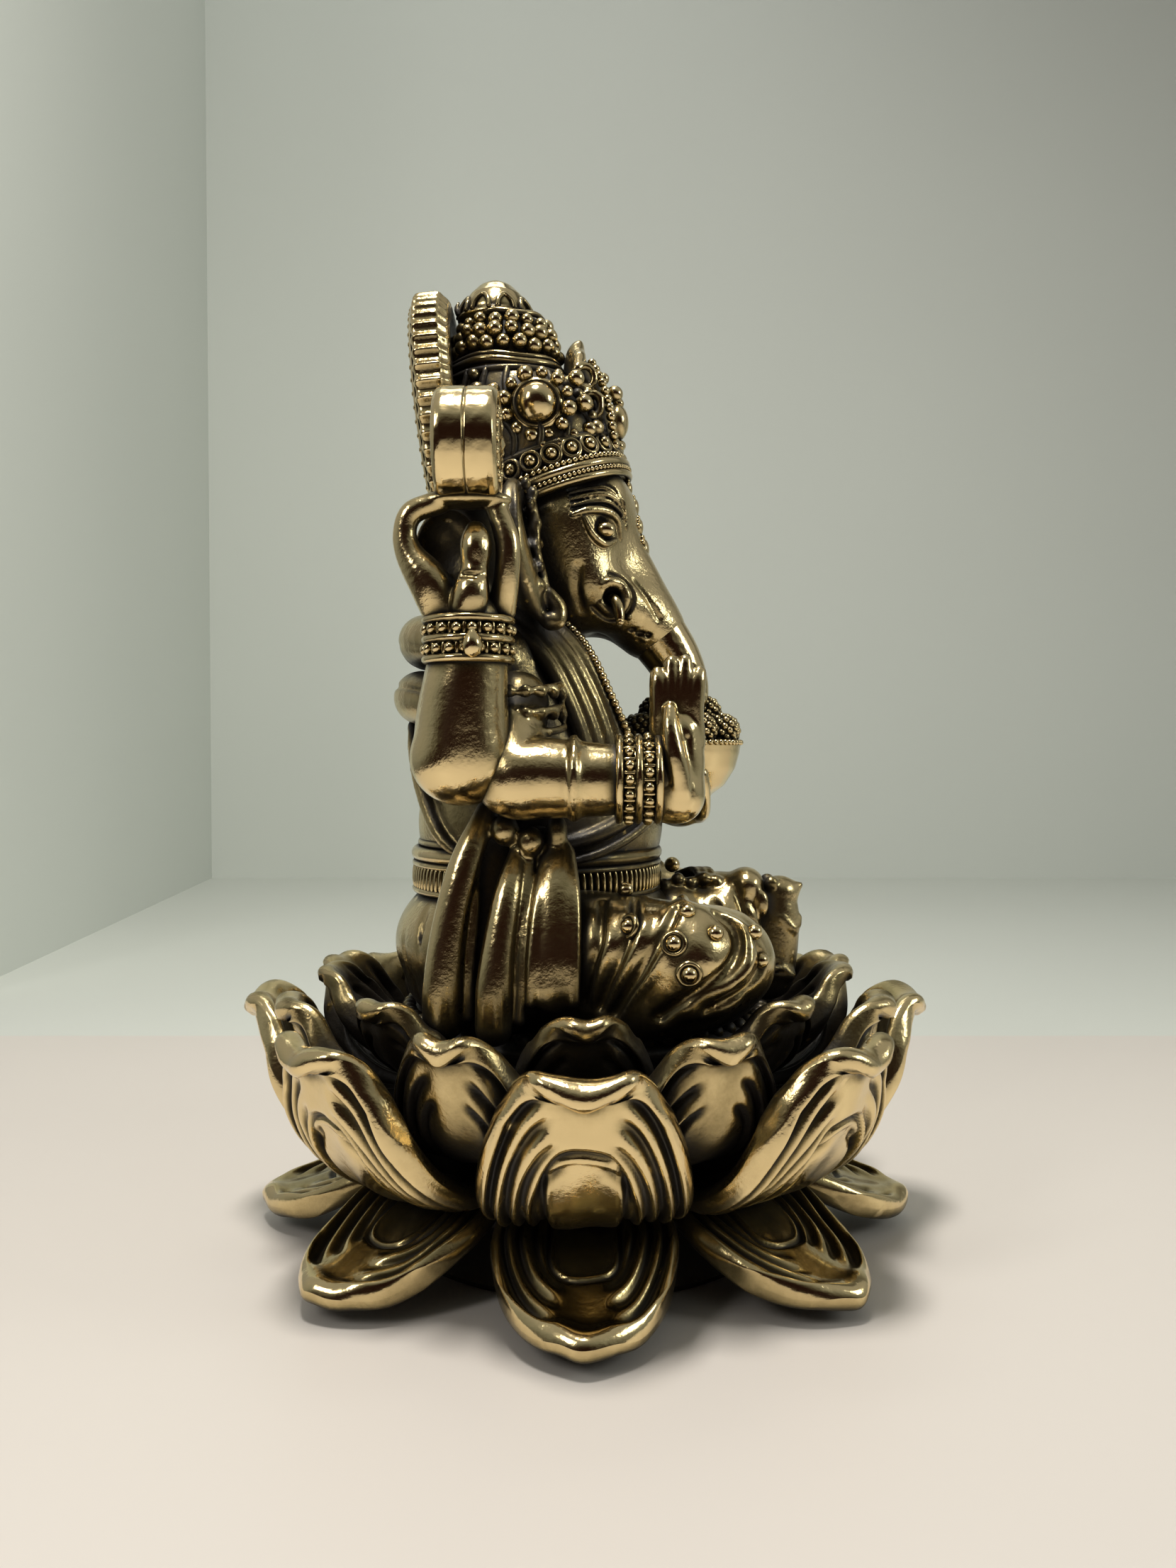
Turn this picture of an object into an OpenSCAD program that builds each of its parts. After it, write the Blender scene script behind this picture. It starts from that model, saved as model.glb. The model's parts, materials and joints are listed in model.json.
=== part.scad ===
// Small cast figure: a four-armed, elephant-headed deity seated cross-legged on a lotus.
// It faces -Y, its right side is -X, and the underside of the lotus core lies on z = 0.

/* [Lotus] */
// Radius at the tips of the outer petals
lotus_r = 34.3; // [30:0.1:44]
// Height of the deck that the figure sits on
deck_z = 23.4; // [19:0.1:30]
// Petals in each of the four rings
petals = 8; // [7:1:10]
// Thickness of a petal
petal_t = 2; // [1.4:0.1:2.6]
// Radius of the flat underside
foot_r = 21; // [17:0.5:25]

/* [Figure] */
// Height from the deck to the top of the crown finial
figure_h = 75.9; // [60:0.1:95]
// Half width of the seated hips
hip_r = 16.5; // [14:0.1:18]
// Half width of the belly
belly_r = 12.6; // [11:0.1:14]
// Radius of a forearm at its thickest
arm_r = 4.2; // [3.4:0.1:5]
// Radius of a folded leg at the thigh
leg_r = 6.2; // [5.4:0.1:7]
// Half width of the head
head_r = 8.6; // [7.4:0.1:10]
// Radius of the trunk where it leaves the face
trunk_r = 3.4; // [2.8:0.1:4]

/* [Crown and halo] */
// Radius of the crown body
crown_r = 8.6; // [7:0.1:10]
// Backward tilt of the crown in degrees
crown_tilt = 20; // [10:1:24]
// Diameter of a bead in the rows under the finial
bead_d = 1.6; // [1.2:0.1:2]
// Radius of the halo disc
halo_r = 13.5; // [11:0.1:16]
// Thickness of the halo disc
halo_t = 3.6; // [2.4:0.1:4.5]
// Ribs round the rim of the halo disc
halo_ribs = 51; // [40:1:80]

/* [Hands] */
// Radius of the disc held on each raised hand
disc_r = 5; // [4:0.1:6]
// Radius of the bowl at its rim
bowl_r = 6.2; // [5:0.1:7]
// Radius of one sweet in the bowl
sweet_r = 2; // [1.6:0.1:2.4]

/* [Hidden] */

brass = "#b59a55";
dark_brass = "#8a7340";
bright_brass = "#d8c07a";

// The figure is drawn in its own millimetres, for a figure this tall on a deck at z = 0.
drawn_h = 75.9;
fig_k = figure_h / drawn_h;
embed = 0.4;            // how far a piece is let into the one that carries it
drawn_lotus_r = 34.3;
drawn_deck_z = 23.4;
lotus_k = lotus_r / drawn_lotus_r;
lift_k = deck_z / drawn_deck_z;

// Places on the figure, as [side, depth, height] above the deck. Side is positive outwards.
seat_y = 4;
shoulder = [10, 10.5, 34];
elbow = [belly_r + 6.4, 11, 26.5];
rear_wrist = [belly_r + 7.4, 10.3, 36];
disc_at = [rear_wrist[0] + 1, 10.3, 53.6];
front_wrist = [belly_r + 6.4, -5, 24];
front_palm = [belly_r + 5.4, -9.6, 24];
head_at = [0, 1.2, 47.4];
crown_at = [0, 3.3, 52.6];
crown_top_at = [0, crown_at[1] + crown_r * 0.58, 65.5];
halo_at = [0, crown_at[1] + crown_r + halo_t + 0.8, 61];
halo_tilt = 6;
bowl_at = [3, -10.4, 21.6];
bowl_h = 6.2;

// ---- curves, tubes and shells ----

function mix(a, b, t) = a + (b - a) * t;

// Point at t (0 to 1) on a quadratic curve with three control points.
function bend(p, t) = mix(mix(p[0], p[1], t), mix(p[1], p[2], t), t);

function unit(v) = v / norm(v);

// Direction of a path at one of its points.
function heading(path, i) =
    unit(path[min(i + 1, len(path) - 1)] - path[max(i - 1, 0)]);

// Ring of a tube: an ellipse across the path, with its first half axis nearest to the side vector.
function ring(at, along, side, size, n) =
    let (up = unit(cross(along, side)), out = cross(up, along))
    [for (k = [0:n - 1]) at + out * size[0] * cos(360 * k / n) + up * size[1] * sin(360 * k / n)];

// Triangles that join rings of n points into a closed tube with flat ends.
function skin(rings, n) = concat(
    [for (i = [0:rings - 2], k = [0:n - 1]) [i * n + k, (i + 1) * n + k, i * n + (k + 1) % n]],
    [for (i = [0:rings - 2], k = [0:n - 1])
        [i * n + (k + 1) % n, (i + 1) * n + k, (i + 1) * n + (k + 1) % n]],
    [for (k = [1:n - 2]) [0, k, k + 1]],
    [for (k = [1:n - 2]) [for (c = [0, k + 1, k]) (rings - 1) * n + c]]);

// Closed tube along a path. sizes holds the two half axes at each point.
module tube(path, sizes, side = [1, 0, 0], n = 12) {
    points = [for (i = [0:len(path) - 1])
        for (p = ring(path[i], heading(path, i), side, sizes[i], n)) p];
    polyhedron(points, skin(len(path), n), convexity = 4);
}

// Round cord along a path.
module cord(path, r, side = [1, 0, 0], n = 8) {
    tube(path, [for (p = path) [r, r]], side, n);
}

// Copies a piece to the other side of the figure.
module both_sides() {
    children();
    mirror([1, 0, 0]) children();
}

module right_side() {
    mirror([1, 0, 0]) children();
}

// Sets what is drawn in the figure's own millimetres on the deck.
module on_deck() {
    translate([0, 0, deck_z]) scale(fig_k) children();
}

// ---- petals ----

// Petal surface point: u from root to tip, v across from -1 to 1, h above the middle of the shell.
// line is the curve of its middle line in [r, z], width its full width, cup how far its sides rise.
function petal_point(line, width, cup, u, v, h) =
    let (
        here = bend(line, u),
        ahead = bend(line, u + 0.01),
        dir = unit(ahead - here),
        up = [-dir[1], dir[0]],
        half = width / 2 * (0.62 + 0.38 * sin(180 * u)) * sqrt(1.02 - pow(u, 5)),
        rise = cup * v * v * (0.35 + 0.65 * u) + h,
        at = here + up * rise
    )
    [at[0], half * v, at[1]];

module petal(line, width, cup, thick) {
    nu = 6;
    nv = 6;
    step = nv + 1;
    sheet = (nu + 1) * step;
    function spot(u, v, top) =
        petal_point(line, width, cup, u, v, (top ? 0.5 : -0.5) * thick * (1 - 0.55 * v * v));
    points = concat(
        [for (i = [0:nu], j = [0:nv]) spot(i / nu, 2 * j / nv - 1, true)],
        [for (i = [0:nu], j = [0:nv]) spot(i / nu, 2 * j / nv - 1, false)]);
    upper = [for (i = [0:nu - 1], j = [0:nv - 1], f = [0, 1]) f == 0
        ? [i * step + j, i * step + j + 1, (i + 1) * step + j]
        : [i * step + j + 1, (i + 1) * step + j + 1, (i + 1) * step + j]];
    lower = [for (t = upper) [sheet + t[0], sheet + t[2], sheet + t[1]]];
    rim = concat(
        [for (j = [0:nv]) j],
        [for (i = [1:nu]) i * step + nv],
        [for (j = [nv - 1:-1:0]) nu * step + j],
        [for (i = [nu - 1:-1:1]) i * step]);
    edge = [for (k = [0:len(rim) - 1], f = [0, 1])
        let (a = rim[k], b = rim[(k + 1) % len(rim)]) f == 0
        ? [a, a + sheet, b]
        : [b, a + sheet, b + sheet]];
    polyhedron(points, concat(upper, lower, edge), convexity = 6);
}

// Places one petal of a ring. A ring with a half step stands between the petals of the others.
module in_ring(i, half_step = 0) {
    rotate([0, 0, (i - 1 + half_step) * 360 / petals]) children();
}

// Middle line of a petal: its root is let into the core by a set depth, and the rest follows the ring.
function petal_line(root_in, root_z, points) = concat(
    [[foot_r - root_in, root_z * lift_k]],
    [for (p = points) [p[0] * lotus_k, p[1] * lift_k]]);

floor_line = petal_line(5.5, 7.2, [[25, -2.2], [33.3, 4]]);
outer_line = petal_line(2.4, 8.6, [[30.5, 9.5], [33.9, 23.2]]);
middle_line = petal_line(3.4, 13.5, [[28, 14.5], [31.8, 25.4]]);
inner_line = petal_line(5.4, 17.5, [[23.5, 19], [28, 26.8]]);

module floor_petal(i) {
    color(brass) in_ring(i) petal(floor_line, 16.6 * lotus_k, 0.6, petal_t * 1.15);
}

module outer_petal(i) {
    color(brass) in_ring(i) petal(outer_line, 17.6 * lotus_k, 3.2, petal_t);
}

module middle_petals() {
    color(brass) for (i = [1:petals])
        in_ring(i, 0.5) petal(middle_line, 13.5 * lotus_k, 2.4, petal_t * 0.9);
}

module inner_petals() {
    color(bright_brass) for (i = [1:petals])
        in_ring(i) petal(inner_line, 11.5 * lotus_k, 1.6, petal_t * 0.8);
}

// ---- core ----

deck_t = 2.4;
core_top = deck_z - deck_t;

module base_core() {
    color(dark_brass) rotate_extrude($fn = 64) polygon([
        [0, 0], [foot_r - 1, 0], [foot_r, 1], [foot_r - 3, 5 * lift_k], [foot_r - 3, 8 * lift_k],
        [foot_r - 1, 12 * lift_k], [foot_r - 2.5, core_top], [0, core_top]]);
}

module lotus_deck() {
    color(dark_brass) translate([0, 0, core_top])
        rotate_extrude($fn = 64) polygon([
            [0, 0], [foot_r - 2, 0], [foot_r - 1, 1], [foot_r - 1.4, deck_t - 0.4],
            [foot_r - 2, deck_t], [0, deck_t]]);
}

// ---- body ----

module hips() {
    color(brass) on_deck() tube(
        [for (z = [0, 2.5, 6, 9.5, 12.3]) [0, seat_y + 0.4, z]],
        [[hip_r - 3, 12.6], [hip_r, 15], [hip_r + 0.5, 15.8], [hip_r - 1.6, 14.8],
         [hip_r - 3.4, 13]], n = 20);
}

module torso() {
    color(brass) on_deck() tube(
        [[0, 4.9, 12.3 - embed], [0, 4.6, 16.5], [0, 4.8, 21], [0, 6.2, 26], [0, 7.4, 31],
         [0, 8.2, 35.5], [0, 8.4, 39.5], [0, 7.2, 42.5]],
        [[belly_r, 12.8], [belly_r + 0.6, 12.9], [belly_r, 12.3], [belly_r - 1.4, 10.4],
         [belly_r - 1.4, 9.2], [belly_r - 1, 8], [belly_r - 4, 6.4], [5.4, 5.2]], n = 20);
}

// Folded leg: thigh from the hip to the knee, then the shin back across the front.
module folded_leg() {
    tube(
        [[9, 4, 7.5], [14.5, -1.5, 7], [18, -7, 6.4], [18.6, -12.5, 5.6], [15.5, -15.6, 4.6],
         [10, -15.8, 4], [5, -14.5, 4]],
        [[6, 6.4], [leg_r, 7], [leg_r, 6.2], [leg_r * 0.85, 5.2], [4.4, 4.4], [3.6, 4],
         [3, 3.6]], side = [0, 0, 1], n = 14);
}

module right_leg() {
    color(brass) on_deck() right_side() folded_leg();
}

module left_leg() {
    color(brass) on_deck() folded_leg();
}

module foot() {
    tube(
        [[6.5, -12.6, 8.4], [3.5, -13.6, 10], [0.6, -15.6, 11.6], [-1.8, -17.4, 12]],
        [[2.2, 2.4], [2.4, 2.8], [1.9, 2.8], [1.1, 1.8]], side = [0, 0, 1], n = 10);
}

module feet() {
    color(brass) on_deck() {
        foot();
        translate([0, -0.6, -4.6]) mirror([1, 0, 0]) foot();
    }
}

// Bead in a raised ring, let into the surface that carries it and facing along dir.
module stud(at, dir, r) {
    turn = [0, acos(dir[2] / norm(dir)), atan2(dir[1], dir[0])];
    translate(at) rotate(turn) {
        cylinder(h = 0.9, r = r * 1.5, center = true, $fn = 24);
        sphere(r = r, $fn = 16);
    }
}

module leg_studs() {
    stud_r = 0.75;
    places = [
        [[17.4, -4, 13], [0.4, 0, 1]], [[22.6, -4, 10.5], [1, 0, 0.6]],
        [[19, -9, 12.2], [0.4, 0, 1]], [[23, -8.4, 9.2], [1, 0, 0.5]],
        [[22, -12, 9.6], [0.7, -0.5, 0.7]], [[23.6, -9.6, 6.4], [1, -0.2, 0.1]],
        [[17.6, -18.6, 7.6], [0.4, -1, 0.5]], [[14, -8, 12.4], [0, 0, 1]]];
    color(bright_brass) on_deck() both_sides()
        for (p = places) stud(p[0], p[1], stud_r);
}

// Belt: an upper cord and a row of short fringe ribs below it.
module waist_belt() {
    ribs = 44;
    belt_y = 4.9;
    color(bright_brass) on_deck() {
        translate([0, belt_y, 12.4]) rotate_extrude($fn = 64)
            translate([belly_r, 0]) square([0.9, 3.4]);
        translate([0, belt_y, 15.6]) rotate_extrude($fn = 64)
            translate([belly_r + 0.7, 0]) circle(r = 0.8, $fn = 16);
        for (i = [0:ribs - 1]) translate([0, belt_y, 12.5]) rotate([0, 0, i * 360 / ribs])
            translate([belly_r + 0.7, -0.45, 0]) cube([0.8, 0.9, 2.5]);
    }
}

// Side drape: folds gathered at the waist that spread on their way down to the deck.
module sash() {
    folds = 5;
    for (i = [0:folds - 1]) {
        t = i / (folds - 1);
        spread = mix(14, 1.5, t);
        cord_path = [for (s = [0:4]) [
            mix(belly_r + 0.4, max(hip_r + 3.2, belly_r + 6.6), sin(90 * s / 4)),
            mix(mix(9.5, 6.5, t), spread, sin(90 * s / 4)),
            mix(21, 1.4, s / 4)]];
        tube(cord_path, [[1, 1], [1.6, 1.5], [2, 1.9], [2.2, 2.1], [1.9, 1.8]], n = 8);
    }
}

module sashes() {
    color(bright_brass) on_deck() both_sides() sash();
}

// Shawl: rolls that run from the back of each shoulder over the chest to the waist.
module shawl() {
    color(brass) on_deck() {
        both_sides() {
            for (i = [0:2]) cord(
                [[9.5 - i, 14, 33 + i * 1.4], [9.5 - i, 8.6, 38.6 + i * 0.6], [9 - i * 1.6, 3.4, 36.4 + i],
                 [9 - i * 1.8, -0.8 - i * 0.6, 31.5 + i], [9.6 - i * 1.6, -2.6 - i * 0.6, 26.5 + i]],
                1.25);
            tube([[1, 16, 37.2], [6, 15.6, 36.6], [10.5, 12.8, 35.4]],
                [[2.6, 2.4], [2.6, 2.4], [1.8, 1.8]], side = [0, 0, 1], n = 10);
            tube([[1, 16.4, 31.6], [6, 15.6, 31.4], [10.5, 12.6, 30.4]],
                [[2.6, 2.4], [2.6, 2.4], [1.8, 1.8]], side = [0, 0, 1], n = 10);
        }
    }
}

// Garland: beads on a cord that hangs from both shoulders to the middle of the chest.
module garland() {
    bead_r = 0.65;
    cord_r = 0.4;
    gaps = 13;
    line = [[5.6, 1.6, 40.6], [4.6, -4.6, 31.5], [0, -6.6, 25.6]];
    color(bright_brass) on_deck() both_sides() {
        for (i = [0:gaps - 1]) hull() {
            translate(bend(line, i / gaps)) sphere(r = cord_r, $fn = 8);
            translate(bend(line, (i + 1) / gaps)) sphere(r = cord_r, $fn = 8);
        }
        for (i = [0:gaps]) translate(bend(line, i / gaps)) sphere(r = bead_r, $fn = 8);
    }
}

// ---- arms ----

module rear_arm() {
    tube(
        [shoulder, mix(shoulder, elbow, 0.6) + [0.8, 0, 0], elbow + [0, 0.2, -2.2],
         elbow + [1.2, -0.2, 2], mix(elbow, rear_wrist, 0.7), rear_wrist],
        [[4.4, 4.4], [4, 4.2], [arm_r, arm_r], [arm_r, arm_r + 0.1], [arm_r - 0.5, arm_r - 0.3],
         [arm_r - 0.9, arm_r - 0.9]], side = [0, 1, 0], n = 14);
}

module right_rear_arm() {
    color(brass) on_deck() right_side() rear_arm();
}

module left_rear_arm() {
    color(brass) on_deck() rear_arm();
}

// Fingers of one hand. curl moves the tips along the depth and height.
module fingers(at, count, spacing, reach, curl, r) {
    for (i = [0:count - 1]) {
        root = at + [(i - (count - 1) / 2) * spacing, 0, 0];
        tube([root, root + reach / 2 + curl / 3, root + reach + curl],
            [[r, r], [r * 0.95, r * 0.95], [r * 0.65, r * 0.65]], n = 8);
    }
}

module rear_hand() {
    palm = rear_wrist + [0, 0.3, 2];
    tube([palm - [0, 0, 2.4], palm + [0, 1.6, 2.2], palm + [0, 3.2, 6.2], palm + [0.4, 1.6, 11]],
        [[2.6, 2.4], [3.2, 2.4], [3.4, 2], [2.6, 1.4]], n = 12);
    fingers(palm + [0, -2.2, 8.6], 4, 1.6, [0, -1, -7.4], [0, 1.6, 0], 1);
    tube([palm + [-2, -0.6, 3], palm + [-2.8, -3.4, 6], palm + [-1.4, -2.6, 9.4]],
        [[1.3, 1.3], [1.3, 1.2], [0.8, 0.8]], n = 8);
}

module right_rear_hand() {
    color(bright_brass) on_deck() right_side() rear_hand();
}

module left_rear_hand() {
    color(bright_brass) on_deck() rear_hand();
}

module front_arm() {
    tube(
        [shoulder + [4.6, -4.5, -3.5], elbow + [0.6, -4.6, -1], elbow + [0.4, -7, -2.2],
         mix(elbow, front_wrist, 0.7), front_wrist],
        [[3, 3], [3.7, 3.7], [arm_r - 0.3, arm_r - 0.3], [arm_r - 0.5, arm_r - 0.5],
         [arm_r - 0.8, arm_r - 0.8]], side = [0, 0, 1], n = 14);
}

module right_front_arm() {
    color(brass) on_deck() right_side() front_arm();
}

// The left front arm carries the bowl, so its wrist turns in towards the middle.
module left_front_arm() {
    inner_wrist = [bowl_at[0] + bowl_r + 2.4, bowl_at[1] + 3, bowl_at[2] - 1.2];
    color(brass) on_deck() tube(
        [shoulder + [4.6, -4.5, -3.5], elbow + [0.6, -4.6, -1], elbow + [0.2, -8, -3.2],
         mix(elbow + [0, -8, -3], inner_wrist, 0.6), inner_wrist],
        [[3, 3], [3.7, 3.7], [arm_r - 0.3, arm_r - 0.3], [arm_r - 0.7, arm_r - 0.7],
         [arm_r - 1.2, arm_r - 1]], side = [0, 0, 1], n = 14);
}

// Raised right hand, palm forward.
module right_front_hand() {
    color(bright_brass) on_deck() right_side() {
        tube([front_wrist, front_palm + [0, 1.6, -0.4], front_palm + [0, 1, 4.5], front_palm + [0, 1.2, 6]],
            [[2.8, 2.9], [3.2, 2.4], [3.1, 1.7], [2.9, 1.4]], n = 12);
        fingers(front_palm + [0, 1.2, 5.2], 4, 1.55, [0, 0, 6], [0, 0.3, 0], 0.95);
        tube([front_palm + [2, 0.4, 1], front_palm + [3.6, -0.6, 3.6], front_palm + [3.4, -0.4, 6.4]],
            [[1.2, 1.2], [1.1, 1.1], [0.7, 0.7]], n = 8);
    }
}

// Left hand, cupped under the bowl.
module left_front_hand() {
    root = [bowl_at[0] + bowl_r + 3, bowl_at[1] + 2.6, bowl_at[2] - 1.4];
    color(bright_brass) on_deck() {
        tube([root, mix(root, bowl_at, 0.5) + [0, 0, -1.6], bowl_at + [-2.6, -0.4, -1.7]],
            [[2.6, 2.4], [1.6, 3.2], [1.2, 2.8]], side = [0, 0, 1], n = 12);
        for (i = [0:3]) tube(
            [bowl_at + [-1.6, i * 1.6 - 2.8, -1.8], bowl_at + [-4.4, i * 1.6 - 2.8, -1],
             bowl_at + [-5.6, i * 1.6 - 2.8, 1]],
            [[0.9, 0.9], [0.85, 0.85], [0.6, 0.6]], side = [0, 1, 0], n = 8);
    }
}

// Bracelet about z: three rims with two rows of beads between them.
module bracelet(r) {
    pitch = 1.55;
    count = 14;
    rotate_extrude($fn = 48) translate([r - 0.3, 0]) square([0.5, 2.4 * pitch], center = true);
    for (i = [-1:1]) translate([0, 0, i * pitch])
        rotate_extrude($fn = 48) translate([r, 0]) square([0.7, 0.5], center = true);
    for (i = [-0.5, 0.5], k = [0:count - 1]) translate([0, 0, i * pitch])
        rotate([0, 0, k * 360 / count]) translate([r, 0, 0]) sphere(r = 0.52, $fn = 16);
}

module front_bracelets() {
    color(bright_brass) on_deck() {
        right_side() translate(front_wrist + [0, 0.2, 0.1]) rotate([90, 0, 0]) bracelet(arm_r - 0.2);
        translate([bowl_at[0] + bowl_r + 4.6, bowl_at[1] + 3.6, bowl_at[2] - 1.2])
            rotate([0, 90, -20]) bracelet(arm_r - 0.5);
    }
}

module rear_bracelets() {
    color(bright_brass) on_deck() both_sides()
        translate(rear_wrist - [0, 0, 0.6]) bracelet(arm_r - 0.5);
}

module hand_disc() {
    disc_t = 5.6;
    translate(disc_at) rotate([90, 0, 0]) difference() {
        cylinder(h = disc_t, r = disc_r, center = true, $fn = 48);
        rotate_extrude($fn = 48) translate([disc_r, 0]) circle(r = 0.35, $fn = 16);
    }
}

module right_disc() {
    color(bright_brass) on_deck() right_side() hand_disc();
}

module left_disc() {
    color(bright_brass) on_deck() hand_disc();
}

// ---- offering ----

module bowl() {
    wall = 0.7;
    color(bright_brass) on_deck() translate(bowl_at) rotate_extrude($fn = 48) polygon([
        [0, 0], [bowl_r * 0.5, 0], [bowl_r * 0.82, bowl_h * 0.35], [bowl_r, bowl_h * 0.86],
        [bowl_r + 0.3, bowl_h], [bowl_r - wall, bowl_h], [bowl_r * 0.82 - wall, bowl_h * 0.45],
        [bowl_r * 0.4, wall * 1.4], [0, wall * 1.4]]);
}

module sweets() {
    layer = bowl_r * 0.98 - sweet_r - 0.7;
    color(brass) on_deck() translate(bowl_at + [0, 0, bowl_h]) {
        for (i = [0:4]) rotate([0, 0, i * 72]) translate([layer, 0, -0.5]) sphere(r = sweet_r, $fn = 24);
        for (i = [0:2]) rotate([0, 0, i * 120 + 30])
            translate([sweet_r * 0.9, 0, sweet_r * 0.75]) sphere(r = sweet_r, $fn = 24);
        translate([0, 0, -bowl_h * 0.45]) cylinder(h = bowl_h * 0.5, r = layer * 0.8, $fn = 24);
    }
}

// ---- head ----

module head() {
    color(brass) on_deck() tube(
        [head_at + [0, 2.4, -9], head_at + [0, 0.6, -6.4], head_at + [0, -0.2, -3], head_at,
         head_at + [0, 0.4, 4], head_at + [0, 1.6, 8], head_at + [0, 2, 9.6]],
        [[head_r - 3, 4], [head_r - 1, 5.6], [head_r - 0.2, 6.2], [head_r, 6.4],
         [head_r - 0.2, 6.8], [head_r - 2, 6], [head_r - 3.4, 5]], n = 18);
}

module trunk() {
    path = [head_at + [0, -3.6, 1], head_at + [0, -4.8, -4], head_at + [0, -6.8, -8],
            head_at + [0, -9.6, -11.6], head_at + [0.2, -11.6, -15.4],
            head_at + [1, -12, -18.6], head_at + [2.6, -11.8, -20]];
    color(bright_brass) on_deck() tube(path,
        [[trunk_r + 1, 2.6], [trunk_r + 0.3, 2.8], [trunk_r, 2.8], [trunk_r - 0.4, 2.6],
         [trunk_r - 0.9, 2.4], [trunk_r - 1.2, 2.1], [trunk_r - 1.5, 1.8]], n = 14);
}

// Ear: a thin flap that spreads sideways and back from the head.
module ear() {
    tube([head_at + [head_r - 1.8, 4.2, 6.5], head_at + [head_r + 1.4, 4.2, 4],
          head_at + [head_r + 2.4, 3.4, -0.5], head_at + [head_r + 1.4, 2.4, -4.6],
          head_at + [head_r - 1.2, 1.6, -7.6]],
        [[2.2, 0.8], [4.4, 1.1], [5, 1.2], [4, 1.3], [1.8, 1.2]], n = 12);
}

module right_ear() {
    color(brass) on_deck() right_side() ear();
}

module left_ear() {
    color(brass) on_deck() ear();
}

module tusks() {
    root = head_at + [4.2, -5, -4.6];
    color(bright_brass) on_deck() both_sides() {
        tube([root + [-1, 1.6, 0.4], root, root + [0.5, -1, -1.4]],
            [[1.7, 1.7], [1.6, 1.6], [1.3, 1.3]], n = 12);
        tube([root, root + [0.7, -1.4, -2.2], root + [0.9, -1.5, -3.6]],
            [[0.6, 0.6], [0.6, 0.6], [0.3, 0.3]], n = 8);
    }
}

module eyes() {
    color(bright_brass) on_deck() both_sides()
        translate(head_at + [head_r - 2.4, -3.8, 2.8]) sphere(r = 1.5, $fn = 24);
}

// Jewelled strip down the middle of the forehead.
module forehead_ornament() {
    color(bright_brass) on_deck() for (i = [0:3])
        translate(head_at + [0, -5.6 - i * 0.75, 6.4 - i * 2.2]) rotate([70, 0, 0])
            cylinder(h = 1.6, r = 1.3 - i * 0.15, center = true, $fn = 24);
}

// ---- crown ----

// Sets crown pieces on the tilted axis of the crown, with z measured up from its foot.
module on_crown() {
    on_deck() translate(crown_at) rotate([-crown_tilt, 0, 0]) children();
}

// Sets the upper tiers of the crown, which stand upright, with z measured up from their foot.
module on_crown_top() {
    on_deck() translate(crown_top_at) children();
}

band_h = 4.2;
tier_r = crown_r * 0.7;             // radius of the ring at the foot of the upper tiers
tier_h = drawn_h - crown_top_at[2];
rows_z = [2.8, 2.8 + bead_d];       // heights of the two bead rows
finial_z = rows_z[1] + bead_d;
finial_r = tier_r - 2.4;

module crown_band() {
    color(bright_brass) on_crown() {
        rotate_extrude($fn = 64) polygon([
            [0, 0], [crown_r - 0.6, 0], [crown_r - 0.1, 0.5], [crown_r - 0.1, 1.1], [crown_r - 0.5, 1.3],
            [crown_r, 1.8], [crown_r, 2.6], [crown_r - 0.4, 3], [crown_r + 0.1, 3.4],
            [crown_r + 0.1, band_h], [0, band_h]]);
    }
}

// Crown body: follows the tilt of the band at its foot and turns upright at its top.
module crown_body() {
    lean = [0, sin(crown_tilt), cos(crown_tilt)];
    foot = crown_at + band_h * lean;
    line = [foot, mix(foot, crown_top_at, 0.55) + [0, -0.4, -0.2], crown_top_at];
    steps = 6;
    color(dark_brass) on_deck() tube(
        [for (i = [0:steps]) bend(line, i / steps)],
        [for (i = [0:steps]) let (r = mix(crown_r - 0.3, tier_r - 0.1, pow(i / steps, 1.8))) [r, r]],
        n = 32);
}

module crown_cabochons() {
    ring_r = 3.4;
    count = 12;
    color(bright_brass) on_crown() both_sides()
        translate([crown_r - 1.8, 0, band_h + ring_r]) rotate([0, 90, 0]) {
            cylinder(h = 1.4, r = ring_r + 0.9, $fn = 32);
            translate([0, 0, 1.5]) sphere(r = 2.1, $fn = 32);
            for (k = [0:count - 1]) rotate([0, 0, k * 360 / count])
                translate([ring_r, 0, 1.5]) sphere(r = 0.75, $fn = 16);
        }
}

// Front crest: a pointed plaque with a scroll and a round boss.
module crown_crest() {
    crest_t = 1.6;
    color(bright_brass) on_crown() translate([0, -crown_r + 0.8, band_h - 0.6]) {
        rotate([90, 0, 0]) linear_extrude(crest_t) polygon([
            [-4.4, 0], [4.4, 0], [4.8, 3], [3.4, 5.6], [1.6, 6.8], [0, 10], [-1.6, 6.8],
            [-3.4, 5.6], [-4.8, 3]]);
        for (z = [0.6, 3.4, 6.2]) translate([0, -crest_t, z]) sphere(r = 1.2, $fn = 24);
    }
}

module bead_row(r, z, count) {
    for (k = [0:count - 1]) rotate([0, 0, k * 360 / count])
        translate([r, 0, z]) sphere(d = bead_d, $fn = 16);
}

// Ring above the crown body, and the neck with two rows of beads that stands in it.
module crown_beads() {
    neck_r = tier_r - 2.4;
    color(bright_brass) on_crown_top() {
        cylinder(h = finial_z, r1 = tier_r - 0.2, r2 = neck_r, $fn = 48);
        translate([0, 0, 0.5]) rotate_extrude($fn = 48) translate([tier_r, 0]) circle(r = 0.5, $fn = 16);
        bead_row(tier_r - 1, rows_z[0], 20);
        bead_row(tier_r - 1.5, rows_z[1], 18);
    }
}

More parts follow.
